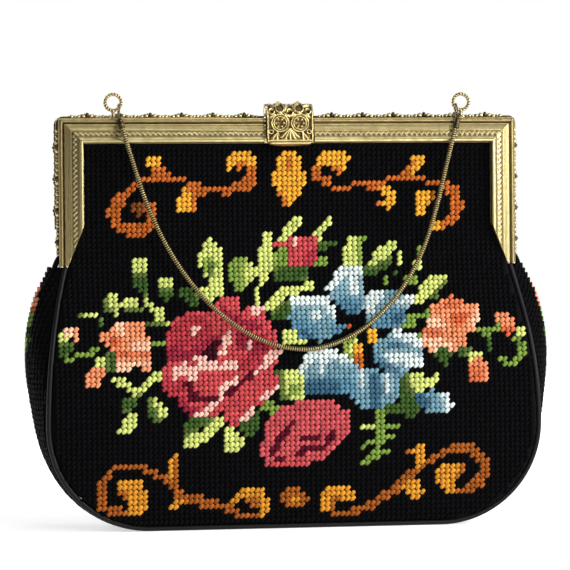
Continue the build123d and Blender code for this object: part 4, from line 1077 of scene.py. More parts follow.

# Frame: two mitred brass channels, hinged at the ends of their legs. The face is rolled with a rim,
# a groove, fine ridges and a band of zigzag; tarnish and painted shade darken its recesses, and
# painted highlights lighten its crests.
frame_half = 0.116
frame_top = 0.205
frame_reach = 0.0125
frame_leg_end = 0.131
rear_leg_end = 0.147
leg_tip_rise = 0.021
leg_tip_draw = 0.0085
clasp_opening = 0.0123
face_lean = 0.45
moulding_step = 0.00036
moulding_back = 0.0066
ridge_span = (0.0041, 0.0062)
ridge_pitch = 0.0007
ridge_height = 0.00007
ridge_shade = 0.22
zigzag_span = (0.0067, 0.0091)
zigzag_pitch = 0.0013
zigzag_height = 0.00024
zigzag_edge = 0.2
zigzag_sweep = 0.6
zigzag_width = 0.2
zigzag_shade = 0.5
zigzag_ground = 0.12
face_ripple = 0.0008
# Rows hold distance inward, depth and relief; relief is painted light: painted highlights on the rim and
# crests, painted shade in the groove and on the inner lip, which faces down.
MOULDING = np.array(
    [
        (0.0000, 0.0076, 0.20), (0.0003, 0.0083, 0.28), (0.0010, 0.0088, 0.38), (0.0017, 0.0085, 0.28),
        (0.0021, 0.0076, 0.02), (0.0027, 0.0075, 0.00), (0.0030, 0.0087, 0.40), (0.0034, 0.0092, 0.75),
        (0.0039, 0.0090, 0.50), (0.0062, 0.0096, 0.55), (0.0064, 0.0093, 0.25), (0.0067, 0.0094, 0.42),
        (0.0091, 0.0098, 0.45), (0.0095, 0.0097, 0.28), (0.0099, 0.0102, 0.52), (0.0110, 0.0104, 0.58),
        (0.0120, 0.0100, 0.45), (0.0125, 0.0069, 0.15),
    ]
)


def brass_nodes(finish, shader, bright, dark, share):
    """Gilt brass: bright metal, dark with tarnish and painted shade where share is low, mottled by years of
    handling.
    """
    place = add_node(finish, "ShaderNodeTexCoord", {}, {}).outputs["Object"]
    mottle = add_node(
        finish, "ShaderNodeTexNoise", {"Vector": place}, {"Scale": 220, "Detail": 5, "Roughness": 0.65}
    )
    grain = add_node(finish, "ShaderNodeTexNoise", {"Vector": place}, {"Scale": 2400, "Detail": 2})
    worn = colour_ramp(finish, mottle.outputs["Fac"], [(0.35, (0.78, 0.76, 0.7)), (0.62, (1, 1, 1))])
    colour = colour_ramp(finish, share, [(0.1, dark), (0.75, bright)])
    mixed = add_node(
        finish, "ShaderNodeMix", {"A": colour, "B": worn}, {}, data_type="RGBA", blend_type="MULTIPLY"
    )
    mixed.inputs["Factor"].default_value = 1
    rough = add_node(
        finish,
        "ShaderNodeMapRange",
        {"Value": mottle.outputs["Fac"]},
        {"From Min": 0.3, "From Max": 0.7, "To Min": 0.42, "To Max": 0.26},
    )
    bump = add_node(
        finish, "ShaderNodeBump", {"Height": grain.outputs["Fac"]}, {"Strength": 0.12, "Distance": 0.0002}
    )
    links = finish.node_tree.links
    links.new(mixed.outputs["Result"], shader.inputs["Base Color"])
    links.new(rough.outputs["Result"], shader.inputs["Roughness"])
    links.new(bump.outputs["Normal"], shader.inputs["Normal"])
    return bump


# Ends of the brass ramp: DARK_BRASS is the recess colour, tarnish together with painted shade.
BRIGHT_BRASS = (0.72, 0.6, 0.3)
DARK_BRASS = (0.085, 0.058, 0.02)
# Greys across the face by share of the way in: tarnish and painted shade in the groove and on a line
# midway.
FACE_SHADES = (
    (0, 0.8), (0.15, 0.9), (0.18, 0.02), (0.215, 0.05), (0.24, 0.75),
    (0.46, 0.7), (0.485, 0.25), (0.52, 0.75), (0.8, 0.7), (0.96, 0.9),
)


def inward_distance(finish):
    """Distance in from the frame's outer edge: the least of those from its side and from its top."""
    place = add_node(finish, "ShaderNodeTexCoord", {}, {}).outputs["Object"]
    axes = add_node(finish, "ShaderNodeSeparateXYZ", {"Vector": place}, {}).outputs
    side = add_node(finish, "ShaderNodeMath", {0: axes["X"]}, {}, operation="ABSOLUTE")
    from_side = add_node(
        finish, "ShaderNodeMath", {1: side.outputs[0]}, {0: frame_half}, operation="SUBTRACT"
    )
    from_top = add_node(finish, "ShaderNodeMath", {1: axes["Z"]}, {0: frame_top}, operation="SUBTRACT")
    inward = add_node(
        finish,
        "ShaderNodeMath",
        {0: from_side.outputs[0], 1: from_top.outputs[0]},
        {},
        operation="MINIMUM",
    )
    return inward.outputs[0]


def frame_finish():
    """Frame brass: the distance in from the outer edge places the groove's tarnish and painted shade, and
    the rolled ridges.
    """
    finish, shader = new_finish("frame_brass", {"Metallic": 1})
    inward = inward_distance(finish)
    place_in = add_node(
        finish, "ShaderNodeMapRange", {"Value": inward}, {"From Min": 0, "From Max": frame_reach}
    ).outputs["Result"]
    shade = colour_ramp(finish, place_in, [(share, (grey,) * 3) for share, grey in FACE_SHADES])
    waves = add_node(
        finish, "ShaderNodeMath", {0: inward}, {1: 2 * np.pi / face_ripple}, operation="MULTIPLY"
    )
    ridges = add_node(finish, "ShaderNodeMath", {0: waves.outputs[0]}, {}, operation="SINE").outputs[0]
    bump = brass_nodes(finish, shader, BRIGHT_BRASS, DARK_BRASS, shade)
    rolled = add_node(
        finish,
        "ShaderNodeBump",
        {"Height": ridges, "Normal": bump.outputs["Normal"]},
        {"Strength": 0.25, "Distance": 0.0001},
    )
    finish.node_tree.links.new(rolled.outputs["Normal"], shader.inputs["Normal"])
    return finish


def relief_finish(name, bright, dark):
    """Cast or drawn brass: the attribute relief, 0 in a recess and 1 on a crest, places tarnish and painted
    shade.
    """
    finish, shader = new_finish(name, {"Metallic": 1})
    relief = add_node(finish, "ShaderNodeAttribute", {}, {}, attribute_name="relief").outputs["Fac"]
    brass_nodes(finish, shader, bright, dark, relief)
    return finish


def moulding_finish():
    """Rolled brass of the frame's face: relief as on cast brass, and a lean outward across the face.

    The lean is a bump whose height is the distance inward, so the face shades as a worn bevel.
    """
    finish = relief_finish("moulding_brass", BRIGHT_BRASS, DARK_BRASS)
    shader = finish.node_tree.nodes["Principled BSDF"]
    inward = inward_distance(finish)
    lean = add_node(
        finish,
        "ShaderNodeBump",
        {"Height": inward, "Normal": shader.inputs["Normal"].links[0].from_socket},
        {"Strength": 1, "Distance": face_lean},
    )
    finish.node_tree.links.new(lean.outputs["Normal"], shader.inputs["Normal"])
    return finish


def set_relief(piece, relief):
    """Keeps a share for each point of a piece in its attribute relief."""
    attribute = piece.data.attributes.new("relief", "FLOAT", "POINT")
    attribute.data.foreach_set("value", np.asarray(relief, np.float32).ravel())


def moulding_run(place, first, last, closed_first, closed_last):
    """One straight run of the frame's face as a closed strip; place maps (run, inward) to x and z.

    Depth and relief follow MOULDING between its places; relief here is painted light, high for painted
    highlights and low for painted shade. Ridges are a sine across the slope, and the zigzag is a rounded
    crest along a triangular wave, each in depth and in painted light. first and last give the run's ends at
    each distance inward, so that mitres and the slant of a leg come out true; a closed end turns back into
    the frame.
    """
    inward = np.unique(
        np.concatenate([MOULDING[:, 0], np.linspace(*ridge_span, 13), np.linspace(*zigzag_span, 10)])
    )[None, :]
    columns = int(np.abs(np.mean(last(inward) - first(inward))) / moulding_step)
    share = np.linspace(0, 1, columns)[:, None]
    run = first(inward) + (last(inward) - first(inward)) * share
    depth = np.interp(inward, MOULDING[:, 0], MOULDING[:, 1]) + 0 * run
    relief = np.interp(inward, MOULDING[:, 0], MOULDING[:, 2]) + 0 * run
    ridged = (inward > ridge_span[0]) & (inward < ridge_span[1])
    ripple = np.sin(2 * np.pi * (inward - ridge_span[0]) / ridge_pitch)
    depth += np.where(ridged, ridge_height * ripple, 0)
    # Painted highlights on the ridges' crests and painted shade between them.
    relief += np.where(ridged, ridge_shade * ripple, 0)
    level = (inward - zigzag_span[0]) / (zigzag_span[1] - zigzag_span[0])
    wave = np.abs((run / zigzag_pitch) % 2 - 1)
    crest = np.exp(-(((level - zigzag_edge - zigzag_sweep * wave) / zigzag_width) ** 2))
    banded = (level > 0) & (level < 1)
    depth += np.where(banded, zigzag_height * crest, 0)
    # Painted highlights on the zigzag marks and painted shade on the ground between them.
    relief += np.where(banded, zigzag_shade * crest - zigzag_ground, 0)
    if closed_first:
        depth[0] = MOULDING[-1, 1]
    if closed_last:
        depth[-1] = MOULDING[-1, 1]
    x, z = place(run, inward)
    outer = np.stack([x, -depth, z], axis=-1)
    inner = np.stack([x, 0 * x - moulding_back, z], axis=-1)
    points, faces = closed_sheet(outer, inner)
    return points, faces, np.concatenate([relief, 0 * relief], axis=1).ravel()


def join(parts):
    """Several sets of points, faces and values for the points as one."""
    points, faces, values = [], [], []
    start = 0
    for part in parts:
        points.append(part[0])
        faces.append(part[1] + start)
        values.append(part[2])
        start += len(part[0])
    return np.concatenate(points), np.concatenate(faces), np.concatenate(values)


def mirrored(part, turn):
    """The same points and faces with some axes turned over, the faces still outward."""
    order = slice(None, None, int(np.prod(turn)))
    return part[0] * turn, part[1][:, order], part[2]


def moulding(middle, lowest):
    """The whole face of one half: from the middle of the top bar round the corner down each leg."""
    bar = moulding_run(
        lambda run, inward: (run, frame_top - inward + 0 * run),
        lambda inward: middle + 0 * inward,
        lambda inward: frame_half - inward,
        middle > 0,
        False,
    )
    leg = moulding_run(
        lambda run, inward: (frame_half - inward + 0 * run, run),
        lambda inward: frame_top - inward,
        lambda inward: np.maximum(
            leg_taper_top - (frame_reach - inward) * leg_tip_rise / leg_tip_draw, lowest
        ),
        False,
        True,
    )
    right = join([bar, leg])
    return join([right, mirrored(right, [-1, 1, 1])])


frame_brass = frame_finish()
cast_brass = relief_finish("cast_brass", BRIGHT_BRASS, DARK_BRASS)
moulding_brass = moulding_finish()
FRAME_NODES = (
    "front_frame", "rear_frame", "left_hinge_pin", "right_hinge_pin",
    "clasp_bracket", "clasp_pin", "clasp_catch",
)
for node in FRAME_NODES:
    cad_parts[node].data.materials.clear()
    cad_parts[node].data.materials.append(frame_brass)
front_face = moulding(clasp_opening, frame_leg_end)
rear_face = mirrored(moulding(0.0, rear_leg_end), [1, -1, 1])
for name, body, part in (
    ("front_frame_moulding", "bag", front_face),
    ("rear_frame_moulding", "rear_half", rear_face),
):
    face = new_piece(name, part[0], part[1], moulding_brass)
    set_relief(face, part[2])
    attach(face, body)

# Galleries: cast borders of leaves and beads along the outer edges of both halves, soldered on a thin rod.
# Each repeat is a peak with a heart of painted shade between leaves and beads. A row of it holds run,
# height, lean in degrees, half length, half width and a share of painted light.
gallery_pitch = 0.0158
gallery_y = 0.0052
gallery_rod = 0.0008
front_gallery_end = 0.1375
rear_gallery_end = 0.150
gallery_corner = 0.003
gallery_depth_share = 1.1
gallery_fade = 0.0008
gallery_fade_start = 0.1
side_height_share = 0.5
bar_first_room = 0.010
bar_last_room = 0.006
side_first_room = 0.014
side_last_room = 0.004
# The rod between the grains is dark with painted shade.
rod_painted_shade = 0.12
GALLERY_REPEAT = (
    (0.0, 0.0017, 90, 0.0014, 0.0011, 0.1),
    (-0.0021, 0.0013, 150, 0.0014, 0.0010, 1.0), (0.0021, 0.0013, 30, 0.0014, 0.0010, 0.7),
    (-0.0044, 0.0009, 20, 0.0013, 0.0009, 0.5), (0.0044, 0.0009, 160, 0.0013, 0.0009, 0.8),
    (-0.0063, 0.0008, 60, 0.0009, 0.0008, 0.8), (0.0063, 0.0008, 120, 0.0009, 0.0008, 0.5),
    (0.0079, 0.0010, 0, 0.0010, 0.0010, 0.9),
)


def gallery_side(places, to_points, frame_axes):
    """Repeats of the border at places along one edge, with their painted light.

    to_points maps run and height to points, and frame_axes are the directions of the two. A painted
    highlight on the front of a grain fades to painted shade at its side.
    """
    repeat = np.array(GALLERY_REPEAT)
    run = (np.array(places)[:, None] + repeat[None, :, 0]).ravel()
    height = np.tile(repeat[:, 1], len(places))
    lean = np.radians(np.tile(repeat[:, 2], len(places)))
    length = np.tile(repeat[:, 3], len(places))
    width = np.tile(repeat[:, 4], len(places))
    run_axis, height_axis = (np.array(axis, float) for axis in frame_axes)
    along = np.cos(lean)[:, None] * run_axis + np.sin(lean)[:, None] * height_axis
    out = np.tile([0.0, -1.0, 0.0], (len(run), 1))
    across = np.cross(out, along)
    place = to_points(run, height)
    points, faces = pebbles(place, along, across, out, length, width, width * gallery_depth_share)
    # Painted highlight on the front of each grain, fading to painted shade at its side, times each grain's
    # share of painted light; the middle leaf of a peak is darkest.
    front = np.clip((-gallery_y - points[:, 1]) / gallery_fade - gallery_fade_start, 0, 1)
    painted_light = np.repeat(np.tile(repeat[:, 5], len(places)), len(points) // len(run))
    return points, faces, front * painted_light


def gallery(end):
    """The right half of a front border down to a height, on its rod, and its mirror image."""
    turn = np.linspace(0, np.pi / 2, 8)
    corner = np.stack(
        [
            frame_half + gallery_rod / 2 - gallery_corner + gallery_corner * np.cos(turn),
            frame_top + gallery_rod / 2 - gallery_corner + gallery_corner * np.sin(turn),
        ],
        axis=-1,
    )
    edge = np.concatenate([[[corner[0, 0], end]], corner, [[clasp_opening, corner[-1, 1]]]])
    rod = np.stack([edge[:, 0], np.full(len(edge), -gallery_y), edge[:, 1]], axis=-1)
    rod_points, rod_faces = tube(rod, gallery_rod, 8)
    bar_places = np.arange(clasp_opening + bar_first_room, frame_half - bar_last_room, gallery_pitch)
    side_places = np.arange(frame_top - side_first_room, end + side_last_room, -gallery_pitch)
    bar = gallery_side(
        bar_places,
        lambda run, height: np.stack([run, 0 * run - gallery_y, frame_top + height], axis=-1),
        ((1, 0, 0), (0, 0, 1)),
    )
    side = gallery_side(
        side_places,
        lambda run, height: np.stack(
            [frame_half + side_height_share * height, 0 * run - gallery_y, run], axis=-1
        ),
        ((0, 0, -1), (1, 0, 0)),
    )
    right = join([(rod_points, rod_faces, np.full(len(rod_points), rod_painted_shade)), bar, side])
    return join([right, mirrored(right, [-1, 1, 1])])


front_border = gallery(front_gallery_end)
rear_border = mirrored(gallery(rear_gallery_end), [1, -1, 1])
for name, node, body, part in (
    ("front_gallery_leaves", "front_gallery", "bag", front_border),
    ("rear_gallery_leaves", "rear_gallery", "rear_half", rear_border),
):
    border = new_piece(name, part[0], part[1], cast_brass)
    set_relief(border, part[2])
    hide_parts(node)
    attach(border, body)

# Eyelets: rings of two twisted wires, each on a short post riveted to the top of the front half.
# The chain hangs in them, and painted shade darkens their turns where the wires meet.
eyelet_x = 0.0885
eyelet_y = -0.007
eyelet_z = 0.213
eyelet_radius = 0.0040
eyelet_brightness = 0.6
strand_radius = 0.00046
strand_offset = 0.00046
strand_turns = 9
strand_sides = 8
painted_shade_reach = 0.00058
painted_shade_fade = 0.0003
post_foot = 0.2046
post_brightness = 0.6
POST_HEIGHTS = (0, 0.0008, 0.0011, 0.0016, 0.0034, 0.0040, 0.0044)
POST_RADII = (0.0016, 0.0016, 0.0013, 0.0009, 0.0009, 0.0012, 0.0007)


def rope_ring(centre, phase):
    """One wire of a twisted ring, with painted shade where the wires meet: a circle whose wire winds about
    its own centre line.
    """
    turn = np.linspace(0, 2 * np.pi, 241)[:-1]
    wind = strand_turns * turn + phase
    reach = eyelet_radius + strand_offset * np.cos(wind)
    wire = np.stack([reach * np.cos(turn), strand_offset * np.sin(wind), reach * np.sin(turn)], axis=-1)
    points, faces = tube(centre + wire, strand_radius, strand_sides, closed=True)
    middle = centre + eyelet_radius * np.stack([np.cos(turn), 0 * turn, np.sin(turn)], axis=-1)
    # Painted shade: the wire darkens near the ring's centre line, where the two wires meet.
    away = np.linalg.norm(points.reshape(-1, strand_sides, 3) - middle[:, None], axis=-1).ravel()
    return points, faces, np.clip((away - painted_shade_reach) / painted_shade_fade, 0, 1)


def turned_post(foot, axis, heights, radii, sides=16):
    """A turned piece: a tube along an axis whose radius changes with height."""
    middle = np.asarray(foot) + np.outer(heights, axis)
    return tube(middle, np.array(radii), sides)


for name, node, side in (("left_rope_eyelet", "left_eyelet", -1), ("right_rope_eyelet", "right_eyelet", 1)):
    centre = np.array([side * eyelet_x, eyelet_y, eyelet_z])
    post_points, post_faces = turned_post(
        (side * eyelet_x, eyelet_y, post_foot), (0, 0, 1), POST_HEIGHTS, POST_RADII
    )
    post = (post_points, post_faces, np.full(len(post_points), post_brightness))
    part = join([rope_ring(centre, 0), rope_ring(centre, np.pi), post])
    eyelet = new_piece(name, part[0], part[1], cast_brass)
    set_relief(eyelet, eyelet_brightness * part[2])
    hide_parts(node)
    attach(eyelet, "bag")

# Chain handle: a brass snake chain of close ribs, darker than the frame, capped at both ends and hung by
# wire links in the rope eyelets. The route repeats the solid's points as a smooth spline.
CHAIN_ROUTE = [
    (-0.08455, -0.01273, 0.19998), (-0.0792, -0.01483, 0.181), (-0.072, -0.01752, 0.158),
    (-0.0595, -0.0205, 0.1325), (-0.042, -0.02313, 0.110), (-0.020, -0.025, 0.094),
    (0.005, -0.02576, 0.0875), (0.0295, -0.02489, 0.095), (0.0495, -0.02296, 0.1115),
    (0.064, -0.02044, 0.133), (0.073, -0.01763, 0.157), (0.0792, -0.01483, 0.181),
    (0.08455, -0.01273, 0.19998),
]
chain_radius = 0.0013
chain_pitch = 0.00115
chain_groove = 0.0004
CAP_AXIS = np.array([0.26985, 0.10584, 0.95707])
cap_eye = (0.0859, -0.01096, 0.2060)
cap_eye_radius = 0.00175
cap_eye_wire = 0.00045
link_pivot = (0.0859, -0.0070, 0.20996)
link_length = 0.0036
link_bend = 0.0020
link_wire = 0.0005
link_slope = np.sqrt(0.5)
chain_sides = 14
wire_sides = 10
# Shares of brightness of the caps' bodies and of the wire eyes and links, in the dark brass.
cap_brightness = 0.3
wire_brightness = 0.8
CAP_HEIGHTS = (-0.0004, 0, 0.0004, 0.0008, 0.0011, 0.0031, 0.0034, 0.0038, 0.0046, 0.0051)
CAP_RADII = (0.0014, 0.0016, 0.0016, 0.0014, 0.0015, 0.0015, 0.0013, 0.0015, 0.0012, 0.0007)


def spline_points(name, route):
    """Points along a smooth spline whose control points are the route's, read from an unbevelled curve."""
    curve = bpy.data.curves.new(name, "CURVE")
    curve.dimensions = "3D"
    curve.resolution_u = 48
    spline = curve.splines.new("NURBS")
    spline.points.add(len(route) - 1)
    for control, place in zip(spline.points, route):
        control.co = (*place, 1)
    spline.order_u = 3
    spline.use_endpoint_u = True
    carrier = bpy.data.objects.new(name, curve)
    mesh = bpy.data.meshes.new_from_object(carrier)
    places = np.empty(len(mesh.vertices) * 3)
    mesh.vertices.foreach_get("co", places)
    bpy.data.objects.remove(carrier)
    bpy.data.curves.remove(curve)
    bpy.data.meshes.remove(mesh)
    return places.reshape(-1, 3)


chain_line = spline_points("chain_route", CHAIN_ROUTE)
chain_run = np.concatenate([[0], np.cumsum(np.linalg.norm(np.diff(chain_line, axis=0), axis=1))])
chain_length = chain_run[-1]
steps = np.linspace(0, chain_length, int(chain_length / chain_pitch) * 6)
chain_path = np.stack([np.interp(steps, chain_run, chain_line[:, axis]) for axis in range(3)], axis=-1)
rib = np.abs(np.sin(np.pi * steps / chain_pitch)) ** 2
points, faces = tube(chain_path, chain_radius - chain_groove * (1 - rib), chain_sides)
chain_brass = relief_finish("chain_brass", (0.46, 0.37, 0.18), (0.01, 0.008, 0.004))
chain = new_piece("snake_chain", points, faces, chain_brass)
# The ribs' colour: painted highlights on their crests and painted shade in their grooves.
set_relief(chain, np.concatenate([np.repeat(rib, chain_sides), [0, 0]]))
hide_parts("handle_chain")
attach(chain, "handle")
dark_brass = relief_finish("link_brass", (0.2, 0.16, 0.085), (0.02, 0.015, 0.008))
end_pieces = []
for name, side in (("left", -1), ("right", 1)):
    across = np.array([side, 1, 1])
    body_points, body_faces = turned_post(
        np.array(CHAIN_ROUTE[-1]) * across, CAP_AXIS * across, CAP_HEIGHTS, CAP_RADII
    )
    turn = np.linspace(0, 2 * np.pi, 33)[:-1]
    tilt = np.array([0, link_slope, link_slope])
    eye_turn = np.outer(np.cos(turn), [1, 0, 0]) + np.outer(np.sin(turn), tilt)
    eye_line = np.array(cap_eye) * across + cap_eye_radius * eye_turn
    eye_points, eye_faces = tube(eye_line, cap_eye_wire, wire_sides, closed=True)
    part = join(
        [
            (body_points, body_faces, np.full(len(body_points), cap_brightness)),
            (eye_points, eye_faces, np.full(len(eye_points), wire_brightness)),
        ]
    )
    cap = new_piece(f"{name}_chain_end", part[0], part[1], dark_brass)
    set_relief(cap, part[2])
    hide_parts(f"{name}_chain_cap")
    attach(cap, "handle")
    bend = np.linspace(np.pi / 2, -np.pi / 2, 14)
    straight = np.linspace(0, link_length, 8)[1:-1]
    bend_x = link_bend * np.cos(bend)
    bend_y = link_bend * np.sin(bend)
    level = 0 * straight + link_bend
    local_x = np.concatenate([straight, link_length + bend_x, straight[::-1], -bend_x])
    local_y = np.concatenate([level, bend_y, -level, -bend_y])
    down = np.array([0, -link_slope, -link_slope])
    sideways = np.array([0, link_slope, -link_slope])
    link_line = np.array(link_pivot) * across + np.outer(local_x, down) + np.outer(local_y, sideways)
    link_points, link_faces = tube(link_line, link_wire, wire_sides, closed=True)
    link = new_piece(f"{name}_wire_link", link_points, link_faces, dark_brass)
    set_relief(link, np.full(len(link_points), wire_brightness))
    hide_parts(f"{name}_link")
    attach(link, "handle")
    end_pieces += [cap, link]

# Clasp cover: a cast hood over the top bar with two ringed rosettes, scrolls above and leaves below, cheeks
# at its sides on the pin, and a polished finger lip. It lifts to free the catch of the rear half.
# The ornament's values, from rosette_x on, are in millimetres.
clasp_half = 0.0120
clasp_pin_y = -0.0045
clasp_pin_z = 0.2088
hood_centre_z = 0.2052
hood_radius = 0.0070
hood_thickness = 0.0013
lip_top = 0.1950
lip_bottom = 0.1915
lip_flare = 0.0015
clasp_corner = 0.0035
clasp_relief = 0.0011
cheek_inner = 0.0108
cheek_radius = 0.0030
cheek_front = -0.0095
lip_curve = 1.6
plain_shade = 0.5
rosette_x = 5.0
rosette_z = 202.4
rosette_hollow = 0.75
petal_count = 6
petal_mean = 0.55
petal_swing = 0.45
petal_reach = 1.9
petal_width = 0.75
blade_width = 0.3
blade_widening = 0.5
rail_x = 11.3
rail_width = 0.45
rail_top = 211.6
rail_fade = 1.5
rail_height = 0.9
crown_x = 4.9
crown_width = 1.5
crown_foot = 211.0
crown_fade = 0.8
crown_height = 1.4
lip_bead_width = 0.5
LIP_BEADS = (193.4, 191.9)
CLASP_RINGS = (
    (-rosette_x, rosette_z, 4.3, 0.42), (rosette_x, rosette_z, 4.3, 0.42),
    (-rosette_x, rosette_z, 3.2, 0.30), (rosette_x, rosette_z, 3.2, 0.30),
    (-4.9, 209.6, 2.1, 0.42), (4.9, 209.6, 2.1, 0.42), (-9.2, 208.0, 1.3, 0.38), (9.2, 208.0, 1.3, 0.38),
    (0.0, 207.6, 1.5, 0.40), (-9.6, 198.0, 1.0, 0.35), (9.6, 198.0, 1.0, 0.35),
)
CLASP_BLADES = (
    (0.0, 199.8, -4.4, 195.2), (0.0, 199.8, -2.4, 194.6), (0.0, 199.8, 0.0, 194.4),
    (0.0, 199.8, 2.4, 194.6), (0.0, 199.8, 4.4, 195.2), (-6.2, 198.0, -8.8, 194.8),
    (-6.2, 198.0, -6.6, 194.5), (6.2, 198.0, 8.8, 194.8), (6.2, 198.0, 6.6, 194.5),
    (0.0, 205.4, -2.4, 206.6), (0.0, 205.4, 2.4, 206.6), (-7.4, 206.6, -9.8, 205.4),
    (7.4, 206.6, 9.8, 205.4), (-2.6, 208.2, -1.2, 211.0), (2.6, 208.2, 1.2, 211.0),
    (-7.2, 210.4, -9.6, 211.2), (7.2, 210.4, 9.6, 211.2),
)


def clasp_ornament(x, z):
    """Relief of the cover at places in millimetres, seen from the front: 0 plain, 1 the height of a ring.

    Rings and blades are rounded crests about circles and lines; each rosette has petals round a hollow.
    Rails run up both sides, two crowns stand on the top edge and two beads cross the lip.
    """
    relief = np.zeros_like(x)
    for middle_x, middle_z, radius, width in CLASP_RINGS:
        away = np.hypot(x - middle_x, z - middle_z) - radius
        relief = np.maximum(relief, np.exp(-((away / width) ** 2)))
    for start_x, start_z, end_x, end_z in CLASP_BLADES:
        run_x, run_z = end_x - start_x, end_z - start_z
        share = ((x - start_x) * run_x + (z - start_z) * run_z) / (run_x**2 + run_z**2)
        share = share.clip(0, 1)
        away = np.hypot(x - start_x - share * run_x, z - start_z - share * run_z)
        relief = np.maximum(relief, np.exp(-((away / (blade_width + blade_widening * share)) ** 2)))
    for middle_x in (-rosette_x, rosette_x):
        turn = np.arctan2(z - rosette_z, x - middle_x)
        reach = np.hypot(x - middle_x, z - rosette_z)
        petal = petal_mean + petal_swing * np.cos(petal_count * turn)
        petal *= np.exp(-(((reach - petal_reach) / petal_width) ** 2))
        relief = np.maximum(relief, petal)
        relief *= 1 - np.exp(-((reach / rosette_hollow) ** 2))
    rail = np.exp(-(((np.abs(x) - rail_x) / rail_width) ** 2)) * ((rail_top - z) / rail_fade).clip(0, 1)
    crown = crown_height * np.exp(-(((np.abs(x) - crown_x) / crown_width) ** 2))
    crown *= ((z - crown_foot) / crown_fade).clip(0, 1)
    relief = np.maximum(relief, crown)
    upper, lower = (np.exp(-(((z - bead) / lip_bead_width) ** 2)) for bead in LIP_BEADS)
    return np.maximum(np.maximum(relief, rail_height * rail), np.maximum(upper, lower))


def clasp_sheet():
    """The hood's profile from its top round the arc and down to the flared lip, widened to its outline.

    Outward of the profile the ornament stands in relief; the inner face lies a thickness behind.
    """
    turn = np.linspace(np.pi / 2, 0, 56)
    fall = np.linspace(hood_centre_z, lip_top, 49)[1:]
    flare = np.linspace(0, 1, 17)[1:]
    y = np.concatenate([clasp_pin_y - hood_radius * np.cos(turn), 0 * fall + clasp_pin_y - hood_radius])
    z = np.concatenate([hood_centre_z + hood_radius * np.sin(turn), fall])
    y = np.concatenate([y, clasp_pin_y - hood_radius - lip_flare * flare**lip_curve])
    z = np.concatenate([z, lip_top + (lip_bottom - lip_top) * flare])
    ahead_y, ahead_z = np.gradient(y), np.gradient(z)
    size = np.hypot(ahead_y, ahead_z)
    out_y, out_z = ahead_z / size, -ahead_y / size
    drop = np.clip(lip_bottom + clasp_corner - z, 0, clasp_corner)
    half = clasp_half - clasp_corner + np.sqrt(clasp_corner**2 - drop**2)
    x = half[:, None] * np.linspace(-1, 1, 121)[None, :]
    relief = clasp_ornament(x * 1000, z[:, None] * 1000 + 0 * x)
    lift = clasp_relief * relief
    lift[:, [0, -1]] = 0
    outer = np.stack([x, y[:, None] + out_y[:, None] * lift, z[:, None] + out_z[:, None] * lift], axis=-1)
    back_y, back_z = y - out_y * hood_thickness, z - out_z * hood_thickness
    inner = np.stack([x, back_y[:, None] + 0 * x, back_z[:, None] + 0 * x], axis=-1)
    points, faces = closed_sheet(outer, inner)
    # The ornament's relief as colour: painted highlights on its crests, tarnish and painted shade in its
    # hollows.
    shade = np.concatenate([relief, np.full_like(relief, plain_shade)], axis=1)
    return points, np.concatenate([faces[:, [0, 2, 1]], faces[:, [0, 3, 2]]]), shade.ravel()


def cheek():
    """The right cheek: a plate from the pin to the hood, its outline in y and z between two values of x."""
    turn = np.linspace(-np.pi / 2, np.pi / 2, 16)
    round_y = clasp_pin_y + cheek_radius * np.cos(turn)
    round_z = clasp_pin_z + cheek_radius * np.sin(turn)
    inside = hood_radius - hood_thickness / 2
    turn = np.linspace(np.pi / 2, 0, 16)
    hood_y = clasp_pin_y - inside * np.cos(turn)
    hood_z = hood_centre_z + inside * np.sin(turn)
    low_y = [clasp_pin_y - inside, cheek_front, cheek_front]
    low_z = [lip_top, lip_top, clasp_pin_z - cheek_radius]
    outline_y = np.concatenate([round_y, hood_y, low_y])
    outline_z = np.concatenate([round_z, hood_z, low_z])
    outline = np.stack([outline_y, outline_z], axis=-1)
    flat = np.array(tessellate_polygon([[(y, z, 0) for y, z in outline]]))
    count = len(outline)
    sides = [np.column_stack([np.full(count, x), outline]) for x in (cheek_inner, clasp_half)]
    points = np.concatenate(sides)
    here = np.arange(count)
    after = (here + 1) % count
    rim_low = np.stack([here, after, after + count], axis=-1)
    rim_high = np.stack([here, after + count, here + count], axis=-1)
    faces = np.concatenate([flat[:, ::-1], flat + count, rim_low, rim_high])
    return points, faces, np.full(len(points), plain_shade)


right_cheek = cheek()
part = join([clasp_sheet(), right_cheek, mirrored(right_cheek, [-1, 1, 1])])
clasp = new_piece("clasp_filigree", part[0], part[1], cast_brass)
set_relief(clasp, part[2])
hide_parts("clasp_cover")
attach(clasp, "clasp")

# Floor, light and camera: a white table in a white room, soft light mostly from the right and the front,
# and the photograph's view, from a little to the left with a long lens.
view_turn = np.radians(-9.0)
view_rise = np.radians(0.8)
view_roll = np.radians(0.5)
view_aim = np.array([-0.0012, 0.0, 0.1210])
image_width = 0.288
sensor_width = 36
table_half = 1.6
room_light = 0.12


def seen_directly(finish):
    """Two factors, 1 or 0: for rays from the camera or through something clear, and for glossy rays."""
    path = add_node(finish, "ShaderNodeLightPath", {}, {}).outputs
    straight = add_node(
        finish,
        "ShaderNodeMath",
        {0: path["Is Camera Ray"], 1: path["Is Transmission Ray"]},
        {},
        operation="MAXIMUM",
    )
    return straight.outputs[0], path["Is Glossy Ray"]


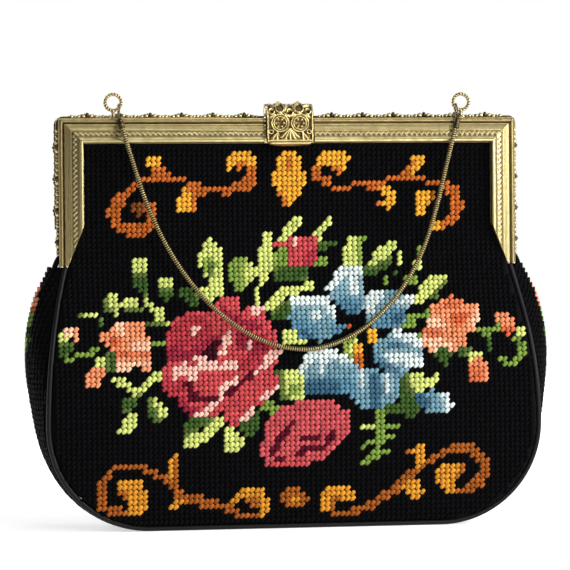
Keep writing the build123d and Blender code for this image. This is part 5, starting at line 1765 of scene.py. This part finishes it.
def table_finish():
    """White card: lit by the lamps and raised to white where it is seen, more so far from the bag."""
    finish, shader = new_finish("white_card", {"Roughness": 0.9, "Base Color": (0.86, 0.86, 0.86, 1)})
    place = add_node(finish, "ShaderNodeTexCoord", {}, {}).outputs["Object"]
    away = add_node(finish, "ShaderNodeVectorMath", {0: place}, {}, operation="LENGTH").outputs["Value"]
    raised = add_node(
        finish,
        "ShaderNodeMapRange",
        {"Value": away},
        {"From Min": 0.2, "From Max": 0.8, "To Min": 0.62, "To Max": 1},
    ).outputs["Result"]
    straight, glossy = seen_directly(finish)
    seen = add_node(finish, "ShaderNodeMath", {0: straight, 1: glossy}, {}, operation="MAXIMUM").outputs[0]
    strength = add_node(finish, "ShaderNodeMath", {0: seen, 1: raised}, {}, operation="MULTIPLY").outputs[0]
    glow = add_node(finish, "ShaderNodeEmission", {"Strength": strength}, {"Color": (1, 1, 1, 1)})
    total = add_node(finish, "ShaderNodeAddShader", {0: shader.outputs[0], 1: glow.outputs[0]}, {})
    surface = finish.node_tree.nodes["Material Output"].inputs["Surface"]
    finish.node_tree.links.new(total.outputs[0], surface)
    return finish


table_x, table_y = np.meshgrid([-table_half, table_half], [-table_half, table_half])
points = np.stack([table_x, table_y, 0 * table_x], axis=-1).reshape(-1, 3)
table = new_piece("table", points, grid_faces(2, 2), table_finish())
world = bpy.data.worlds.new("studio")
bpy.context.scene.world = world
world.use_nodes = True
ray_way = add_node(world, "ShaderNodeTexCoord", {}, {}).outputs["Generated"]
ray_depth = add_node(world, "ShaderNodeSeparateXYZ", {"Vector": ray_way}, {}).outputs["Y"]
wall = add_node(world, "ShaderNodeMapRange", {"Value": ray_depth}, {"From Max": 0.5, "To Min": room_light})
straight, glossy = seen_directly(world)
in_metal = add_node(world, "ShaderNodeMath", {0: wall.outputs[0], 1: glossy}, {}, operation="MULTIPLY")
seen = add_node(world, "ShaderNodeMath", {0: straight, 1: in_metal.outputs[0]}, {}, operation="MAXIMUM")
white = add_node(world, "ShaderNodeMath", {0: seen.outputs[0]}, {1: room_light}, operation="MAXIMUM")
background = world.node_tree.nodes["Background"].inputs
background["Color"].default_value = (1, 1, 1, 1)
world.node_tree.links.new(white.outputs[0], background["Strength"])


def soft_lamp(name, place, aim, size, power):
    """A square soft box at a place, turned to face a point."""
    lamp = bpy.data.lights.new(name, "AREA")
    lamp.shape = "SQUARE"
    lamp.size = size
    lamp.energy = power
    holder = bpy.data.objects.new(name, lamp)
    holder.location = place
    holder.rotation_euler = (Vector(aim) - Vector(place)).to_track_quat("-Z", "Y").to_euler()
    bpy.context.scene.collection.objects.link(holder)


soft_lamp("key_lamp", place=(1.6, -0.9, 0.75), aim=(0, 0, 0.12), size=0.9, power=38)
soft_lamp("front_lamp", place=(0.7, -2.0, 0.7), aim=(0, 0, 0.12), size=0.7, power=20)
soft_lamp("top_lamp", place=(0.2, -0.2, 1.5), aim=(0, 0, 0.1), size=0.7, power=4)
soft_lamp("rear_lamp", place=(-1.2, 1.7, 0.8), aim=(0, 0, 0.1), size=0.8, power=18)

lens = bpy.data.cameras.new("photo_camera")
lens.sensor_width = sensor_width
lens.lens = sensor_width * view_distance / image_width
lens.clip_end = 20
camera = bpy.data.objects.new("photo_camera", lens)
camera.location = view_aim + view_distance * np.array(
    [np.sin(view_turn) * np.cos(view_rise), -np.cos(view_turn) * np.cos(view_rise), np.sin(view_rise)]
)
camera.rotation_mode = "XYZ"
camera.rotation_euler = (np.pi / 2 - view_rise, view_roll, view_turn)
bpy.context.scene.collection.objects.link(camera)
bpy.context.scene.camera = camera
bpy.context.scene.view_settings.view_transform = "Standard"
